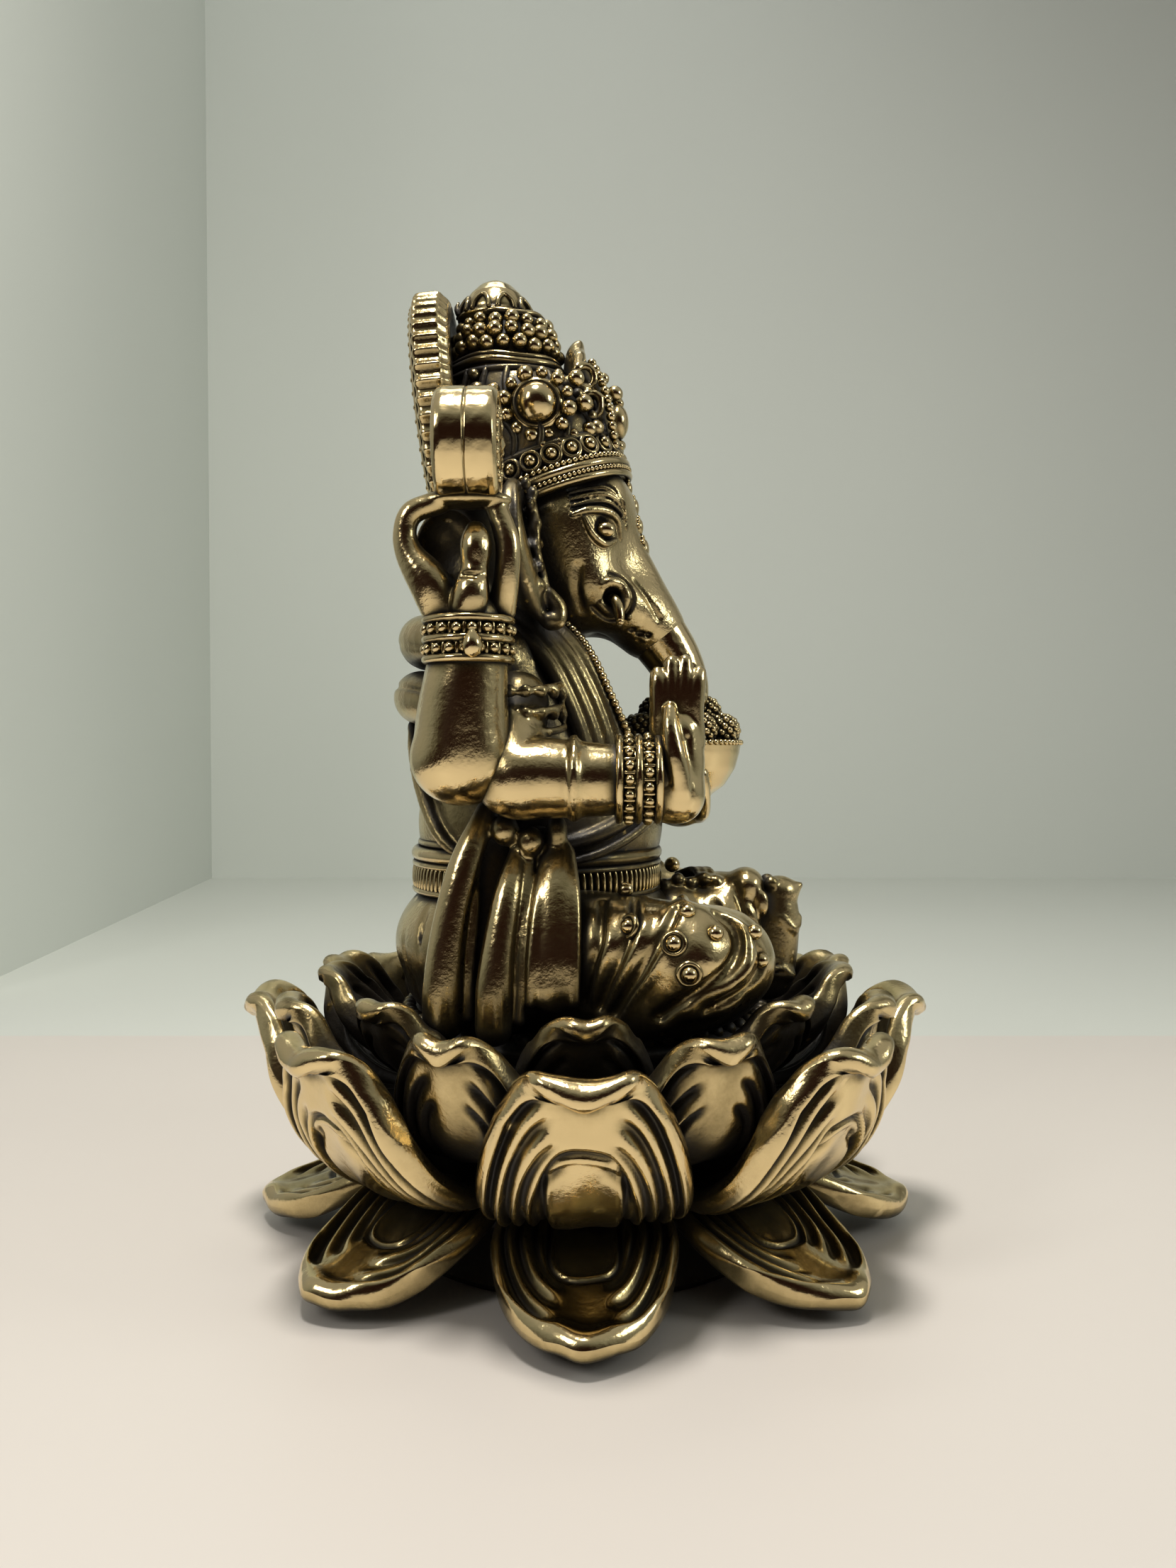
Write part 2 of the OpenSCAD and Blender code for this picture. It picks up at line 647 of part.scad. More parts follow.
module crown_finial() {
    color(bright_brass) on_crown_top() translate([0, 0, finial_z]) rotate_extrude($fn = 48) polygon([
        [0, -embed], [finial_r, -embed], [finial_r + 0.4, 0.4], [finial_r + 0.1, 0.8], [finial_r - 0.1, 1],
        [finial_r - 0.3, 1.9], [finial_r - 1.1, 3.2], [1.4, tier_h - finial_z - 0.2],
        [0, tier_h - finial_z]]);
}

// Halo: a thick disc with a ribbed rim and a bevelled front ring.
module halo_disc() {
    rib_d = 2 * PI * halo_r / halo_ribs;
    color(brass) on_deck() translate(halo_at) rotate([90 - halo_tilt, 0, 0]) {
        difference() {
            cylinder(h = halo_t, r = halo_r - rib_d * 0.3, $fn = 96);
            for (k = [0:halo_ribs - 1]) rotate([0, 0, k * 360 / halo_ribs])
                translate([halo_r, 0, -1]) cylinder(h = halo_t + 2, d = rib_d * 0.9, $fn = 4);
        }
        translate([0, 0, halo_t]) cylinder(h = 1, r1 = halo_r - 1.6, r2 = halo_r - 2.4, $fn = 96);
    }
}

// ---- attendant ----

// Small attendant animal, sitting upright in front of the crossed feet.
module attendant() {
    at = [0, -18.4, 2];
    color(dark_brass) on_deck() {
        tube([at, at + [0, -0.6, 3], at + [0, -1.2, 6.4], at + [0, -1.8, 9]],
            [[2.6, 2.4], [3, 2.5], [2.4, 2.1], [1.3, 1.3]], n = 12);
        tube([at + [0, -1, 8.6], at + [0, -2, 9.8], at + [0, -3.4, 10.2]],
            [[1.9, 1.9], [1.7, 1.7], [0.6, 0.6]], n = 10);
        both_sides() translate(at + [1.5, -0.6, 10.6]) sphere(r = 0.9, $fn = 16);
    }
}

base_core();
lotus_deck();
for (i = [1:petals]) floor_petal(i);
for (i = [1:petals]) outer_petal(i);
middle_petals();
inner_petals();
hips();
torso();
right_leg();
left_leg();
feet();
leg_studs();
waist_belt();
sashes();
shawl();
garland();
head();
trunk();
right_ear();
left_ear();
tusks();
eyes();
forehead_ornament();
crown_band();
crown_body();
crown_cabochons();
crown_crest();
crown_beads();
crown_finial();
halo_disc();
right_rear_arm();
left_rear_arm();
right_front_arm();
left_front_arm();
right_rear_hand();
left_rear_hand();
right_front_hand();
left_front_hand();
front_bracelets();
rear_bracelets();
right_disc();
left_disc();
bowl();
sweets();
attendant();
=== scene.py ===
import json
import math

import bpy
import bmesh
import numpy as np
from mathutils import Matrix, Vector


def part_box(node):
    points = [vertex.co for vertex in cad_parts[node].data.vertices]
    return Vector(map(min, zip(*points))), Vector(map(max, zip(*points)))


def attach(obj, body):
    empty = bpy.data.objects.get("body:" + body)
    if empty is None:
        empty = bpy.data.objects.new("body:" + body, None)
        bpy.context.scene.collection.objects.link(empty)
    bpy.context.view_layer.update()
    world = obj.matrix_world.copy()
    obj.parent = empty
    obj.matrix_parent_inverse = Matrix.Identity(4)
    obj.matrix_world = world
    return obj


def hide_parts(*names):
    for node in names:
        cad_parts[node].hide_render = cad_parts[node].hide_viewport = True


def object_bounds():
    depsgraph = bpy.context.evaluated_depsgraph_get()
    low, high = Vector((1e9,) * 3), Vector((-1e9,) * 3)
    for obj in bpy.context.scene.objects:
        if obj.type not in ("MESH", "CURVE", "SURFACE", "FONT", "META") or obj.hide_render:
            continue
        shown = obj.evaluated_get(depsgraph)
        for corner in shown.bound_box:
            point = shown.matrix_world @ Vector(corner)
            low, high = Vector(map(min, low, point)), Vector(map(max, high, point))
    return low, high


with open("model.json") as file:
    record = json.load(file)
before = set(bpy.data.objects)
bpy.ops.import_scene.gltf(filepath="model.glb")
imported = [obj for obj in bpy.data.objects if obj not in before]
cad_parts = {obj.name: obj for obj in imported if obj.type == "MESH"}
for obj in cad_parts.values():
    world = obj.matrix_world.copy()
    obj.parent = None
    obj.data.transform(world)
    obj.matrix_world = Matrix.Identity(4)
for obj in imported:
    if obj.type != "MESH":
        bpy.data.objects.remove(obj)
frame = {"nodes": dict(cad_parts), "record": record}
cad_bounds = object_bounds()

import openvdb as vdb
from mathutils import Vector

# All shapes are worked out in millimetres, in the frame's own axes: +Z up, the figure faces -Y.
MM = 0.001
BODY = "root"
PETALS = sum(1 for name in frame["nodes"] if name.startswith("outer_petal_"))


def box_mm(node_name):
    """A node's lowest and highest corners, in millimetres."""
    return [np.array(corner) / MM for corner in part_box(node_name)]


# The figure's places below are for a deck at this height. The frame says where the deck is now.
DRAWN_DECK = 23.4
LIFT = box_mm("lotus_deck")[1][2] - DRAWN_DECK
LIFTED = np.array([0, 0, LIFT])


# ---------------------------------------------------------------- materials

def node(tree, kind, **values):
    made = tree.nodes.new(kind)
    for key, value in values.items():
        if key in made.inputs:
            made.inputs[key].default_value = value
        else:
            setattr(made, key, value)
    return made


def maths(tree, operation, a, b=None, clamp=False):
    """A Math node. Each of a and b is a socket or a number."""
    made = node(tree, "ShaderNodeMath", operation=operation, use_clamp=clamp)
    for slot, value in enumerate((a, b)):
        if value is None:
            continue
        if isinstance(value, (int, float)):
            made.inputs[slot].default_value = value
        else:
            tree.links.new(value, made.inputs[slot])
    return made.outputs[0]


def ramp(tree, factor, stops):
    """A colour ramp with stops of (position, colour)."""
    made = node(tree, "ShaderNodeValToRGB")
    marks = made.color_ramp.elements
    while len(marks) < len(stops):
        marks.new(0.5)
    for mark, (place, colour) in zip(marks, stops):
        mark.position = place
        mark.color = (*colour, 1)
    tree.links.new(factor, made.inputs["Fac"])
    return made.outputs["Color"]


def noise(tree, place, scale, detail=3.0, roughness=0.55):
    made = node(tree, "ShaderNodeTexNoise", Scale=scale, Detail=detail, Roughness=roughness)
    tree.links.new(place, made.inputs["Vector"])
    return made.outputs["Fac"]


# The metal's colour, from where it is worn brightest to the patina in its carved lines; the patina colour
# also paints shade into its hollows, under and between parts.
POLISHED = (0.79, 0.625, 0.335)
WORN = (0.45, 0.35, 0.16)
OLIVE = (0.125, 0.095, 0.038)
PATINA_AND_PAINTED_SHADE = (0.010, 0.007, 0.004)
# How far off a wall still darkens a spot, in metres: inside a carved line, as patina, and inside a hollow, as
# painted shade under and between parts.
CREVICE, HOLLOW = 0.0011, 0.0120


def shelter(tree, distance, samples):
    made = node(tree, "ShaderNodeAmbientOcclusion", samples=samples, Distance=distance)
    return made.outputs["AO"]


def antique_brass(name, polish, grain):
    """Brass worn bright where it stands proud, with patina left in its carved lines and painted shade
    darkening its hollows, under and between parts.

    polish from 0 to 1 sets how much of it was worn bright, and grain how rough the casting is."""
    material = bpy.data.materials.new(name)
    material.use_nodes = True
    tree = material.node_tree
    shader = tree.nodes["Principled BSDF"]
    place = node(tree, "ShaderNodeTexCoord").outputs["Object"]

    # The short reach finds carved lines, where patina lies.
    crevice = maths(tree, "POWER", shelter(tree, CREVICE, 4), 1.7)
    # Painted shade: the long reach darkens the colour in hollows, under and between parts, where shade falls.
    hollow = maths(tree, "MULTIPLY", maths(tree, "POWER", shelter(tree, HOLLOW, 6), 1.4), 1.15)
    open_air = maths(tree, "MULTIPLY", crevice, hollow)
    edges = node(tree, "ShaderNodeNewGeometry").outputs["Pointiness"]
    convex = maths(tree, "MULTIPLY", maths(tree, "SUBTRACT", edges, 0.5), 4.0)
    mottle = maths(tree, "SUBTRACT", noise(tree, place, 620, 6.0, 0.65), 0.5)
    blotch = maths(tree, "SUBTRACT", noise(tree, place, 130, 2.0), 0.5)

    # Wear, mottle, patina and painted shade together set how bright the colour is.
    wear_and_painted_shade = maths(tree, "ADD", maths(tree, "MULTIPLY", open_air, 0.95), convex)
    wear_and_painted_shade = maths(tree, "ADD", wear_and_painted_shade, maths(tree, "MULTIPLY", mottle, 0.36))
    wear_and_painted_shade = maths(tree, "ADD", wear_and_painted_shade, maths(tree, "MULTIPLY", blotch, 0.26))
    wear_and_painted_shade = maths(tree, "ADD", wear_and_painted_shade, 0.60 * (polish - 0.5), clamp=True)

    # Low factor values, from patina and from painted shade in hollows, turn the colour dark.
    tree.links.new(
        ramp(tree, wear_and_painted_shade, [(0.20, PATINA_AND_PAINTED_SHADE), (0.46, OLIVE), (0.70, WORN), (0.92, POLISHED)]),
        shader.inputs["Base Color"])
    tree.links.new(
        ramp(tree, wear_and_painted_shade, [(0.20, (0.15,) * 3), (0.5, (1.0,) * 3)]), shader.inputs["Metallic"])
    smoothest = 0.12 + 0.10 * (1 - polish)
    tree.links.new(
        ramp(tree, wear_and_painted_shade, [(0.2, (0.5,) * 3), (0.5, (0.27,) * 3), (0.9, (smoothest,) * 3)]),
        shader.inputs["Roughness"])

    height = maths(tree, "ADD",
                   maths(tree, "MULTIPLY", noise(tree, place, 2600, 3.0, 0.6), 0.55 * grain),
                   maths(tree, "MULTIPLY", noise(tree, place, 480, 2.0), 0.9))
    bump = node(tree, "ShaderNodeBump", Strength=0.38, Distance=0.00018)
    tree.links.new(height, bump.inputs["Height"])
    tree.links.new(bump.outputs["Normal"], shader.inputs["Normal"])
    return material


def plain_wall(name, colour, roughness):
    material = bpy.data.materials.new(name)
    material.use_nodes = True
    tree = material.node_tree
    shader = tree.nodes["Principled BSDF"]
    place = node(tree, "ShaderNodeTexCoord").outputs["Object"]
    tint = ramp(tree, noise(tree, place, 6, 2.0), [(0.3, [c * 0.97 for c in colour]), (0.7, colour)])
    tree.links.new(tint, shader.inputs["Base Color"])
    shader.inputs["Roughness"].default_value = roughness
    return material


BRASS = antique_brass("antique_brass", 0.55, 0.8)
BRIGHT = antique_brass("rubbed_brass", 0.78, 0.45)
AGED = antique_brass("aged_brass", 0.10, 1.1)
GRAINY = antique_brass("cast_brass", 0.33, 1.7)
SLOT_LOOKS = {"brass": BRASS, "bright_brass": BRIGHT, "aged_brass": AGED}


# ---------------------------------------------------------------- meshes

class Shell:
    """Gathers points and faces, in millimetres, and turns them into one smooth piece."""

    def __init__(self):
        self.points = []
        self.faces = []
        self.count = 0

    def add(self, points, faces):
        points = np.asarray(points, float)
        self.points.append(points)
        self.faces.append(np.asarray(faces, int) + self.count)
        self.count += len(points)
        return self

    def join(self, other, move=lambda p: p, flip=False):
        for points, faces in zip(other.points, other.faces):
            start = self.count
            first = faces.min() if len(faces) else 0
            self.points.append(move(points))
            local = faces - first
            self.faces.append((local[:, ::-1] if flip else local) + start)
            self.count += len(points)
        return self

    def moved(self, move):
        return Shell().join(self, move)

    def piece(self, name, node_name, material=None):
        mesh = bpy.data.meshes.new(name)
        faces = [face for block in self.faces for face in block.tolist()]
        mesh.from_pydata((np.concatenate(self.points) * MM).tolist(), [], faces)
        mesh.validate()
        mesh.shade_smooth()
        made = bpy.data.objects.new(name, mesh)
        bpy.context.scene.collection.objects.link(made)
        slot = next(s["material_slot"] for s in frame["record"]["subparts"] if s["node"] == node_name)
        mesh.materials.append(material or SLOT_LOOKS[slot])
        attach(made, BODY)
        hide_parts(node_name)


def gathered(shells):
    """Several shells as one."""
    whole = Shell()
    for shell in shells:
        whole.join(shell)
    return whole


def mirrored(p):
    return p * [-1, 1, 1]


def both_sides(right):
    """A shape on the right together with its mirror image."""
    return Shell().join(right).join(right, mirrored, flip=True)


def pair(right, name, node_name, material=None):
    """A right piece, and a left one that mirrors it. Their names and nodes begin with the side."""
    right.piece(f"right_{name}", f"right_{node_name}", material)
    left = Shell().join(right, mirrored, flip=True)
    left.piece(f"left_{name}", f"left_{node_name}", material)


def ball_template(cuts):
    mesh = bmesh.new()
    bmesh.ops.create_icosphere(mesh, subdivisions=cuts, radius=1)
    mesh.verts.ensure_lookup_table()
    points = np.array([v.co[:] for v in mesh.verts])
    faces = np.array([[v.index for v in f.verts] for f in mesh.faces])
    mesh.free()
    return points, faces


BALLS = {cuts: ball_template(cuts) for cuts in (2, 3, 4)}


def balls(centres, radius, cuts=3, stretch=None):
    """Small balls. stretch, if given, turns and stretches each ball: one 3 by 3 matrix each."""
    shell = Shell()
    points, faces = BALLS[cuts]
    centres = np.asarray(centres, float).reshape(-1, 3)
    radii = np.broadcast_to(radius, len(centres))
    for i, (centre, r) in enumerate(zip(centres, radii)):
        shape = points if stretch is None else points @ np.asarray(stretch[i]).T
        shell.add(centre + shape * r, faces)
    return shell


def unit(v):
    return v / np.linalg.norm(v, axis=-1, keepdims=True)


def around(count, phase=0.0):
    """The angles of a full turn in equal steps. phase is a share of a step."""
    return (np.arange(count) + phase) * 2 * math.pi / count


def circle(r, z=0.0, count=96, phase=0.0):
    """Points round the Z axis at a height."""
    a = around(count, phase)
    return np.stack([r * np.cos(a), r * np.sin(a), z + 0 * a], -1)


def facing_ring(centre, out, r, count, up=(0, 0, 1)):
    """A circle of points round centre, square to the direction out."""
    side = unit(np.cross(out, up))
    a = around(count)[:, None]
    return centre + r * (side * np.cos(a) + np.cross(out, side) * np.sin(a))


def grid_faces(rows, columns, wrap_rows=False, wrap_columns=True):
    i = np.arange(rows if wrap_rows else rows - 1)[:, None]
    j = np.arange(columns if wrap_columns else columns - 1)[None, :]
    i2, j2 = (i + 1) % rows, (j + 1) % columns
    quads = np.stack([i * columns + j, i * columns + j2, i2 * columns + j2, i2 * columns + j], -1)
    return quads.reshape(-1, 4)


def lathe(profile, steps=96, ripple=None):
    """Turns a profile of (radius, height) about Z. ripple(angle, index) scales the radius."""
    profile = np.asarray(profile, float)
    angle = around(steps)
    r = profile[:, :1] * np.ones(steps)
    if ripple is not None:
        r = r * ripple(angle, np.arange(len(profile))[:, None])
    z = profile[:, 1:] * np.ones(steps)
    points = np.stack([r * np.cos(angle), r * np.sin(angle), z], -1).reshape(-1, 3)
    return Shell().add(points, grid_faces(len(profile), steps))


def densify(profile, gap=0.25):
    """More points along a profile, with its corners eased a little."""
    p = np.array(profile, float)
    run = np.concatenate([[0], np.cumsum(np.linalg.norm(np.diff(p, axis=0), axis=1))])
    at = np.linspace(0, run[-1], int(run[-1] / gap) + 2)
    q = np.stack([np.interp(at, run, p[:, k]) for k in (0, 1)], -1)
    q[1:-1] = 0.5 * q[1:-1] + 0.25 * (q[:-2] + q[2:])
    return q


def smooth(points, steps):
    """A smooth curve through points of any width, as steps points: Catmull-Rom."""
    p = np.asarray(points, float)
    p = np.vstack([2 * p[0] - p[1], p, 2 * p[-1] - p[-2]])
    at = np.linspace(0, len(p) - 3 - 1e-9, steps)
    i = at.astype(int)
    t = (at - i)[:, None]
    a, b, c, d = p[i], p[i + 1], p[i + 2], p[i + 3]
    return 0.5 * (2 * b + (c - a) * t + (2 * a - 5 * b + 4 * c - d) * t**2
                  + (3 * b - a - 3 * c + d) * t**3)


def sweep(path, radius, sides=12, closed=False):
    """A round cord along a path, with one radius or one at each point."""
    path = np.asarray(path, float)
    along = np.roll(path, -1, 0) - np.roll(path, 1, 0)
    if not closed:
        along[0], along[-1] = path[1] - path[0], path[-1] - path[-2]
    along = unit(along)
    side = unit(np.cross(along, [0.31, 0.17, 0.93]))
    for i in range(1, len(path)):
        side[i] = unit(side[i - 1] - along[i] * np.dot(side[i - 1], along[i]))
    up = np.cross(along, side)
    angle = around(sides)
    r = np.broadcast_to(np.asarray(radius, float), len(path))[:, None]
    points = (path[:, None] + side[:, None] * (r * np.cos(angle))[..., None]
              + up[:, None] * (r * np.sin(angle))[..., None])
    if closed:
        return Shell().add(points.reshape(-1, 3), grid_faces(len(path), sides, wrap_rows=True)[:, ::-1])
    first, last = (np.broadcast_to(end, (1, sides, 3)) for end in (path[0], path[-1]))
    points = np.concatenate([first, points, last])
    return Shell().add(points.reshape(-1, 3), grid_faces(len(path) + 2, sides)[:, ::-1])


def turned(angles):
    """Rotation matrix for turns about X, then Y, then Z, in degrees."""
    ax, ay, az = np.radians(angles)
    rx = np.array([[1, 0, 0], [0, math.cos(ax), -math.sin(ax)], [0, math.sin(ax), math.cos(ax)]])
    ry = np.array([[math.cos(ay), 0, math.sin(ay)], [0, 1, 0], [-math.sin(ay), 0, math.cos(ay)]])
    rz = np.array([[math.cos(az), -math.sin(az), 0], [math.sin(az), math.cos(az), 0], [0, 0, 1]])
    return rz @ ry @ rx


def placed(at, angles=(0, 0, 0)):
    """A function that turns points and then moves them to a place on the figure."""
    turn, move = turned(angles), np.array(at, float) + LIFTED
    return lambda p: p @ turn.T + move


# ---------------------------------------------------------------- clay

# The distance that stands for "far from the clay", and how far round a shape its blend is worked out.
FAR, MARGIN = 5.0, 1.2


class Clay:
    """A lump of clay: a distance field on a grid, in millimetres, that shapes are pressed into."""

    def __init__(self, low, high, cell):
        self.low = np.array(low, float)
        self.cell = cell
        size = np.ceil((np.array(high) - self.low) / cell).astype(int) + 1
        self.d = np.full(size, FAR, np.float32)

    def window(self, low, high, margin):
        a = np.floor((np.array(low) - margin - self.low) / self.cell).astype(int)
        b = np.ceil((np.array(high) + margin - self.low) / self.cell).astype(int) + 1
        a, b = np.clip(a, 0, self.d.shape), np.clip(b, 0, self.d.shape)
        axes = [(self.low[i] + self.cell * np.arange(a[i], b[i])).astype(np.float32) for i in range(3)]
        return tuple(slice(p, q) for p, q in zip(a, b)), np.stack(np.meshgrid(*axes, indexing="ij"), -1)

    def press(self, distance, low, high, blend, cut):
        where, points = self.window(low, high, blend + MARGIN)
        if 0 in points.shape:
            return self
        new = distance(points)
        old = self.d[where]
        if cut:
            h = np.clip(0.5 - 0.5 * (old + new) / blend, 0, 1)
            self.d[where] = old + (-new - old) * h + blend * h * (1 - h)
        else:
            h = np.clip(0.5 + 0.5 * (old - new) / blend, 0, 1)
            self.d[where] = old + (new - old) * h - blend * h * (1 - h)
        return self

    def ball(self, at, radii, blend=0.8, turn=(0, 0, 0), cut=False):
        """An ellipsoid with three radii, or a ball with one."""
        at, radii = np.array(at, np.float32), np.broadcast_to(np.array(radii, np.float32), 3)
        turn = turned(turn).astype(np.float32)
        reach = np.abs(turn) @ radii

        def distance(p):
            q = (p - at) @ turn
            k0 = np.linalg.norm(q / radii, axis=-1)
            k1 = np.linalg.norm(q / radii**2, axis=-1) + 1e-6
            return k0 * (k0 - 1) / k1
        return self.press(distance, at - reach, at + reach, blend, cut)

    def limb(self, points, blend=0.8, steps=None, cut=False, flat=None):
        """A round limb along a smooth curve through points of (x, y, z, radius).

        flat = (direction, share) thins it to a share of its width in that direction."""
        p = smooth(points, steps or 5 * len(points) - 4).astype(np.float32)
        squeeze = np.eye(3, dtype=np.float32)
        if flat is not None:
            direction = unit(np.array(flat[0], np.float32))
            squeeze += (1 / flat[1] - 1) * np.outer(direction, direction).astype(np.float32)
        line, r = p[:, :3] @ squeeze, p[:, 3]

        def distance(q):
            q = q @ squeeze
            best = None
            for a, b, ra, rb in zip(line[:-1], line[1:], r[:-1], r[1:]):
                ab = b - a
                t = np.clip(((q - a) @ ab) / (ab @ ab + 1e-9), 0, 1)
                d = np.linalg.norm(q - a - t[..., None] * ab, axis=-1) - (ra + t * (rb - ra))
                best = d if best is None else np.minimum(best, d)
            return best
        reach = p[:, 3:4].max()
        return self.press(distance, p[:, :3].min(0) - reach, p[:, :3].max(0) + reach, blend, cut)

    def groove(self, points, radius=0.35, blend=0.35):
        """A cut along points of (x, y, z)."""
        points = np.asarray(points, float)
        return self.limb(np.c_[points, np.full(len(points), radius)], blend, cut=True)

    def ridge(self, points, radius=0.4, blend=0.4):
        points = np.asarray(points, float)
        ends = np.full(len(points), float(radius))
        ends[[0, -1]] *= 0.6
        return self.limb(np.c_[points, ends], blend)

    def skin(self, spots, lift=0.0):
        """Places on the surface seen from the right: each (y, z) gets the x where the clay starts."""
        found = []
        xs = self.low[0] + self.cell * np.arange(self.d.shape[0])
        for y, z in spots:
            j = int(round((y - self.low[1]) / self.cell))
            k = int(round((z - self.low[2]) / self.cell))
            j, k = min(max(j, 0), self.d.shape[1] - 1), min(max(k, 0), self.d.shape[2] - 1)
            column = self.d[:, j, k]
            inside = np.flatnonzero(column < 0)
            i = inside[0] if len(inside) else np.argmin(column)
            found.append((xs[i] - lift, y, z))
        return np.array(found)

    def shell(self, relax=1):
        """The clay's surface as a shell."""
        field = np.ascontiguousarray(self.d)
        for _ in range(relax):
            for axis in range(3):
                field = 0.5 * field + 0.25 * (np.roll(field, 1, axis) + np.roll(field, -1, axis))
        field[[0, -1]] = field[:, [0, -1]] = field[:, :, [0, -1]] = FAR
        grid = vdb.FloatGrid(FAR)
        grid.copyFromArray(field.astype(np.float32))
        points, quads = grid.convertToQuads(isovalue=0.0)
        return Shell().add(points * self.cell + self.low + LIFTED, quads[:, ::-1])


# ---------------------------------------------------------------- lotus

def bell(x, width):
    return np.exp(-(x / width) ** 2)


def step_up(a, b, x):
    t = np.clip((x - a) / (b - a), 0, 1)
    return t * t * (3 - 2 * t)


def arches(across, over):
    """Which of a set of nested arches a point lies on: 0 in the middle, 1 at the outline."""
    return (np.abs(across)**2.4 + np.clip(over, 0, None)**2.4) ** (1 / 2.4)


def petal_shell(line, width, cup, thick, carved, seed, tongue=0, anchor=0.3, lines=(0.84, 0.69, 0.54),
                point=0.30, rows=84, columns=104):
    """One petal about the X axis, with square shoulders, a rolled rim and nested arches.

    line is its middle line as (r, z), root first. cup is how far its sides turn in. carved says how
    deep its upper and its lower side are cut, in mm. tongue is the share of its length where the
    arch at its root closes, or 0 for none, and anchor where the others begin to turn in."""
    t = np.linspace(0, 1, rows)
    u = (0.7 * t + 0.3 * (1 - (1 - t)**2))[:, None]
    w = np.linspace(-1, 1, columns)
    v = (0.62 * w + 0.38 * np.sin(w * math.pi / 2))[None, :]

    fine = smooth(line, 400)
    run = np.concatenate([[0], np.cumsum(np.linalg.norm(np.diff(fine, axis=0), axis=1))])
    length = run[-1]
    heading = unit(np.gradient(fine, axis=0))
    reach = 1 - point * v**2 - 0.14 * v**8 + 0.02 * (bell(v, 0.2) - 1)
    s = u * reach
    mid_r, mid_z, along_r, along_z = (np.interp(s * length, run, column)
                                      for column in (*fine.T, *heading.T))
    half = width / 2 * (0.88 + 0.14 * step_up(0.0, 0.35, s)) * (1 - 0.08 * u**5)

    edge = np.minimum((1 - np.abs(v)) * half, (1 - u) * reach * length)
    body = thick * (0.80 + 0.26 * bell(edge - 1.3, 1.1))
    body = body * np.sqrt(np.clip(1 - np.clip(1 - edge / 1.0, 0, 1)**2, 0.0004, 1))

    over = (s - anchor) / (1 - anchor)
    ring = arches(v, over)
    turn = np.arctan2(np.clip(over, 0, None), np.abs(v) + 1e-6)
    fade = (1 - step_up(0.95, 1.30, turn)) * step_up(0.02, 0.10, 1 - u)
    cut = np.zeros_like(s)
    for k, place in enumerate(lines):
        cut += (1.25 - 0.12 * k) * bell(ring - place - 0.012 * np.sin(9 * s + seed + k), 0.034) * fade
        cut -= 0.35 * bell(ring - place - 0.08, 0.045) * fade
    if tongue:
        low = tongue - 0.16
        arch = arches(v / 0.34, (s - low) / (tongue - low))
        cut += 1.5 * bell(arch - 1.10, 0.10)
        cut += 1.0 * step_up(1.05, 0.85, arch) * step_up(low - 0.3, tongue, s)

    rise = cup * v**2 * (0.4 + 0.6 * s)
    rise = rise + 0.16 * np.sin(5.1 * s + 2.3 * v + seed) + 0.10 * np.sin(11 * v - 7 * s + 2.1 * seed)
    rise = rise - 0.30 * bell(v - 0.1 * math.sin(seed), 0.16) * step_up(0.86, 1.0, s)
    held = np.clip(body / thick, 0, 1)

    def side(sign, depth):
        h = rise + sign * (body / 2 - depth * cut * held)
        r = mid_r - along_z * h
        z = mid_z + along_r * h
        return np.stack([r, half * v * np.ones_like(s), z], -1).reshape(-1, 3)

    count = rows * columns
    top = grid_faces(rows, columns, wrap_columns=False)
    bottom = top[:, ::-1] + count
    rim = np.concatenate([np.arange(columns), np.arange(1, rows) * columns + columns - 1,
                          (rows - 1) * columns + np.arange(columns - 2, -1, -1),
                          np.arange(rows - 2, 0, -1) * columns])
    after = np.roll(rim, -1)
    sides = np.stack([rim, rim + count, after + count, after], -1)
    return Shell().add(np.vstack([side(1, carved[0]), side(-1, carved[1])]),
                       np.vstack([top, bottom, sides])[:, ::-1])


# The petals' middle lines below are for a lotus of this radius. The frame says how wide it is now.
DRAWN_LOTUS_R = 34.9
SCALE_R = box_mm("outer_petal_1")[1][0] / DRAWN_LOTUS_R
SCALE_Z = 1 + LIFT / DRAWN_DECK


def petal_ring(line, width, seed=0, half_step=0.0, **shape):
    """The petals of one ring in their places, each carved a little differently."""
    line = [(r * SCALE_R, z * SCALE_Z) for r, z in line]
    ring = []
    for i in range(1, PETALS + 1):
        turn = turned((0, 0, (i - 1 + half_step) * 360 / PETALS))
        petal = petal_shell(line, width * SCALE_R, seed=seed + i, **shape)
        ring.append(petal.moved(lambda p: p @ turn.T))
    return ring


def floor_petals():
    line = [(16.5, 8.6), (21.5, 6.6), (26.0, 4.4), (29.6, 3.1), (32.4, 2.6), (34.6, 3.0)]
    ring = petal_ring(line, 16.6, cup=0.0, thick=2.3, carved=(0.50, 0.15), tongue=0.56, anchor=0.2,
                      point=0.32)
    for i, petal in enumerate(ring, 1):
        petal.piece(f"floor_petal_look_{i}", f"floor_petal_{i}", BRIGHT)


def outer_petals():
    line = [(19.0, 8.6), (23.6, 8.9), (28.4, 11.6), (31.6, 16.0), (32.7, 20.0), (33.2, 22.2), (34.1, 23.3),
            (35.2, 22.8), (35.6, 21.8)]
    ring = petal_ring(line, 18.3, seed=20, cup=2.8, thick=2.2, carved=(0.40, 0.72), tongue=0.66,
                      lines=(0.86, 0.72, 0.58, 0.45), point=0.24)
    for i, petal in enumerate(ring, 1):
        petal.piece(f"outer_petal_look_{i}", f"outer_petal_{i}")


def middle_petals():
    line = [(17.5, 12.5), (22.6, 13.4), (27.0, 16.4), (29.2, 20.6), (30.0, 24.0), (31.2, 25.2), (32.4, 24.3)]
    ring = petal_ring(line, 15.0, seed=40, half_step=0.5, cup=2.8, thick=2.1, carved=(0.5, 0.75),
                      anchor=0.35, lines=(0.84, 0.66, 0.5), rows=70, columns=84)
    gathered(ring).piece("middle_petal_ring", "middle_petals", AGED)


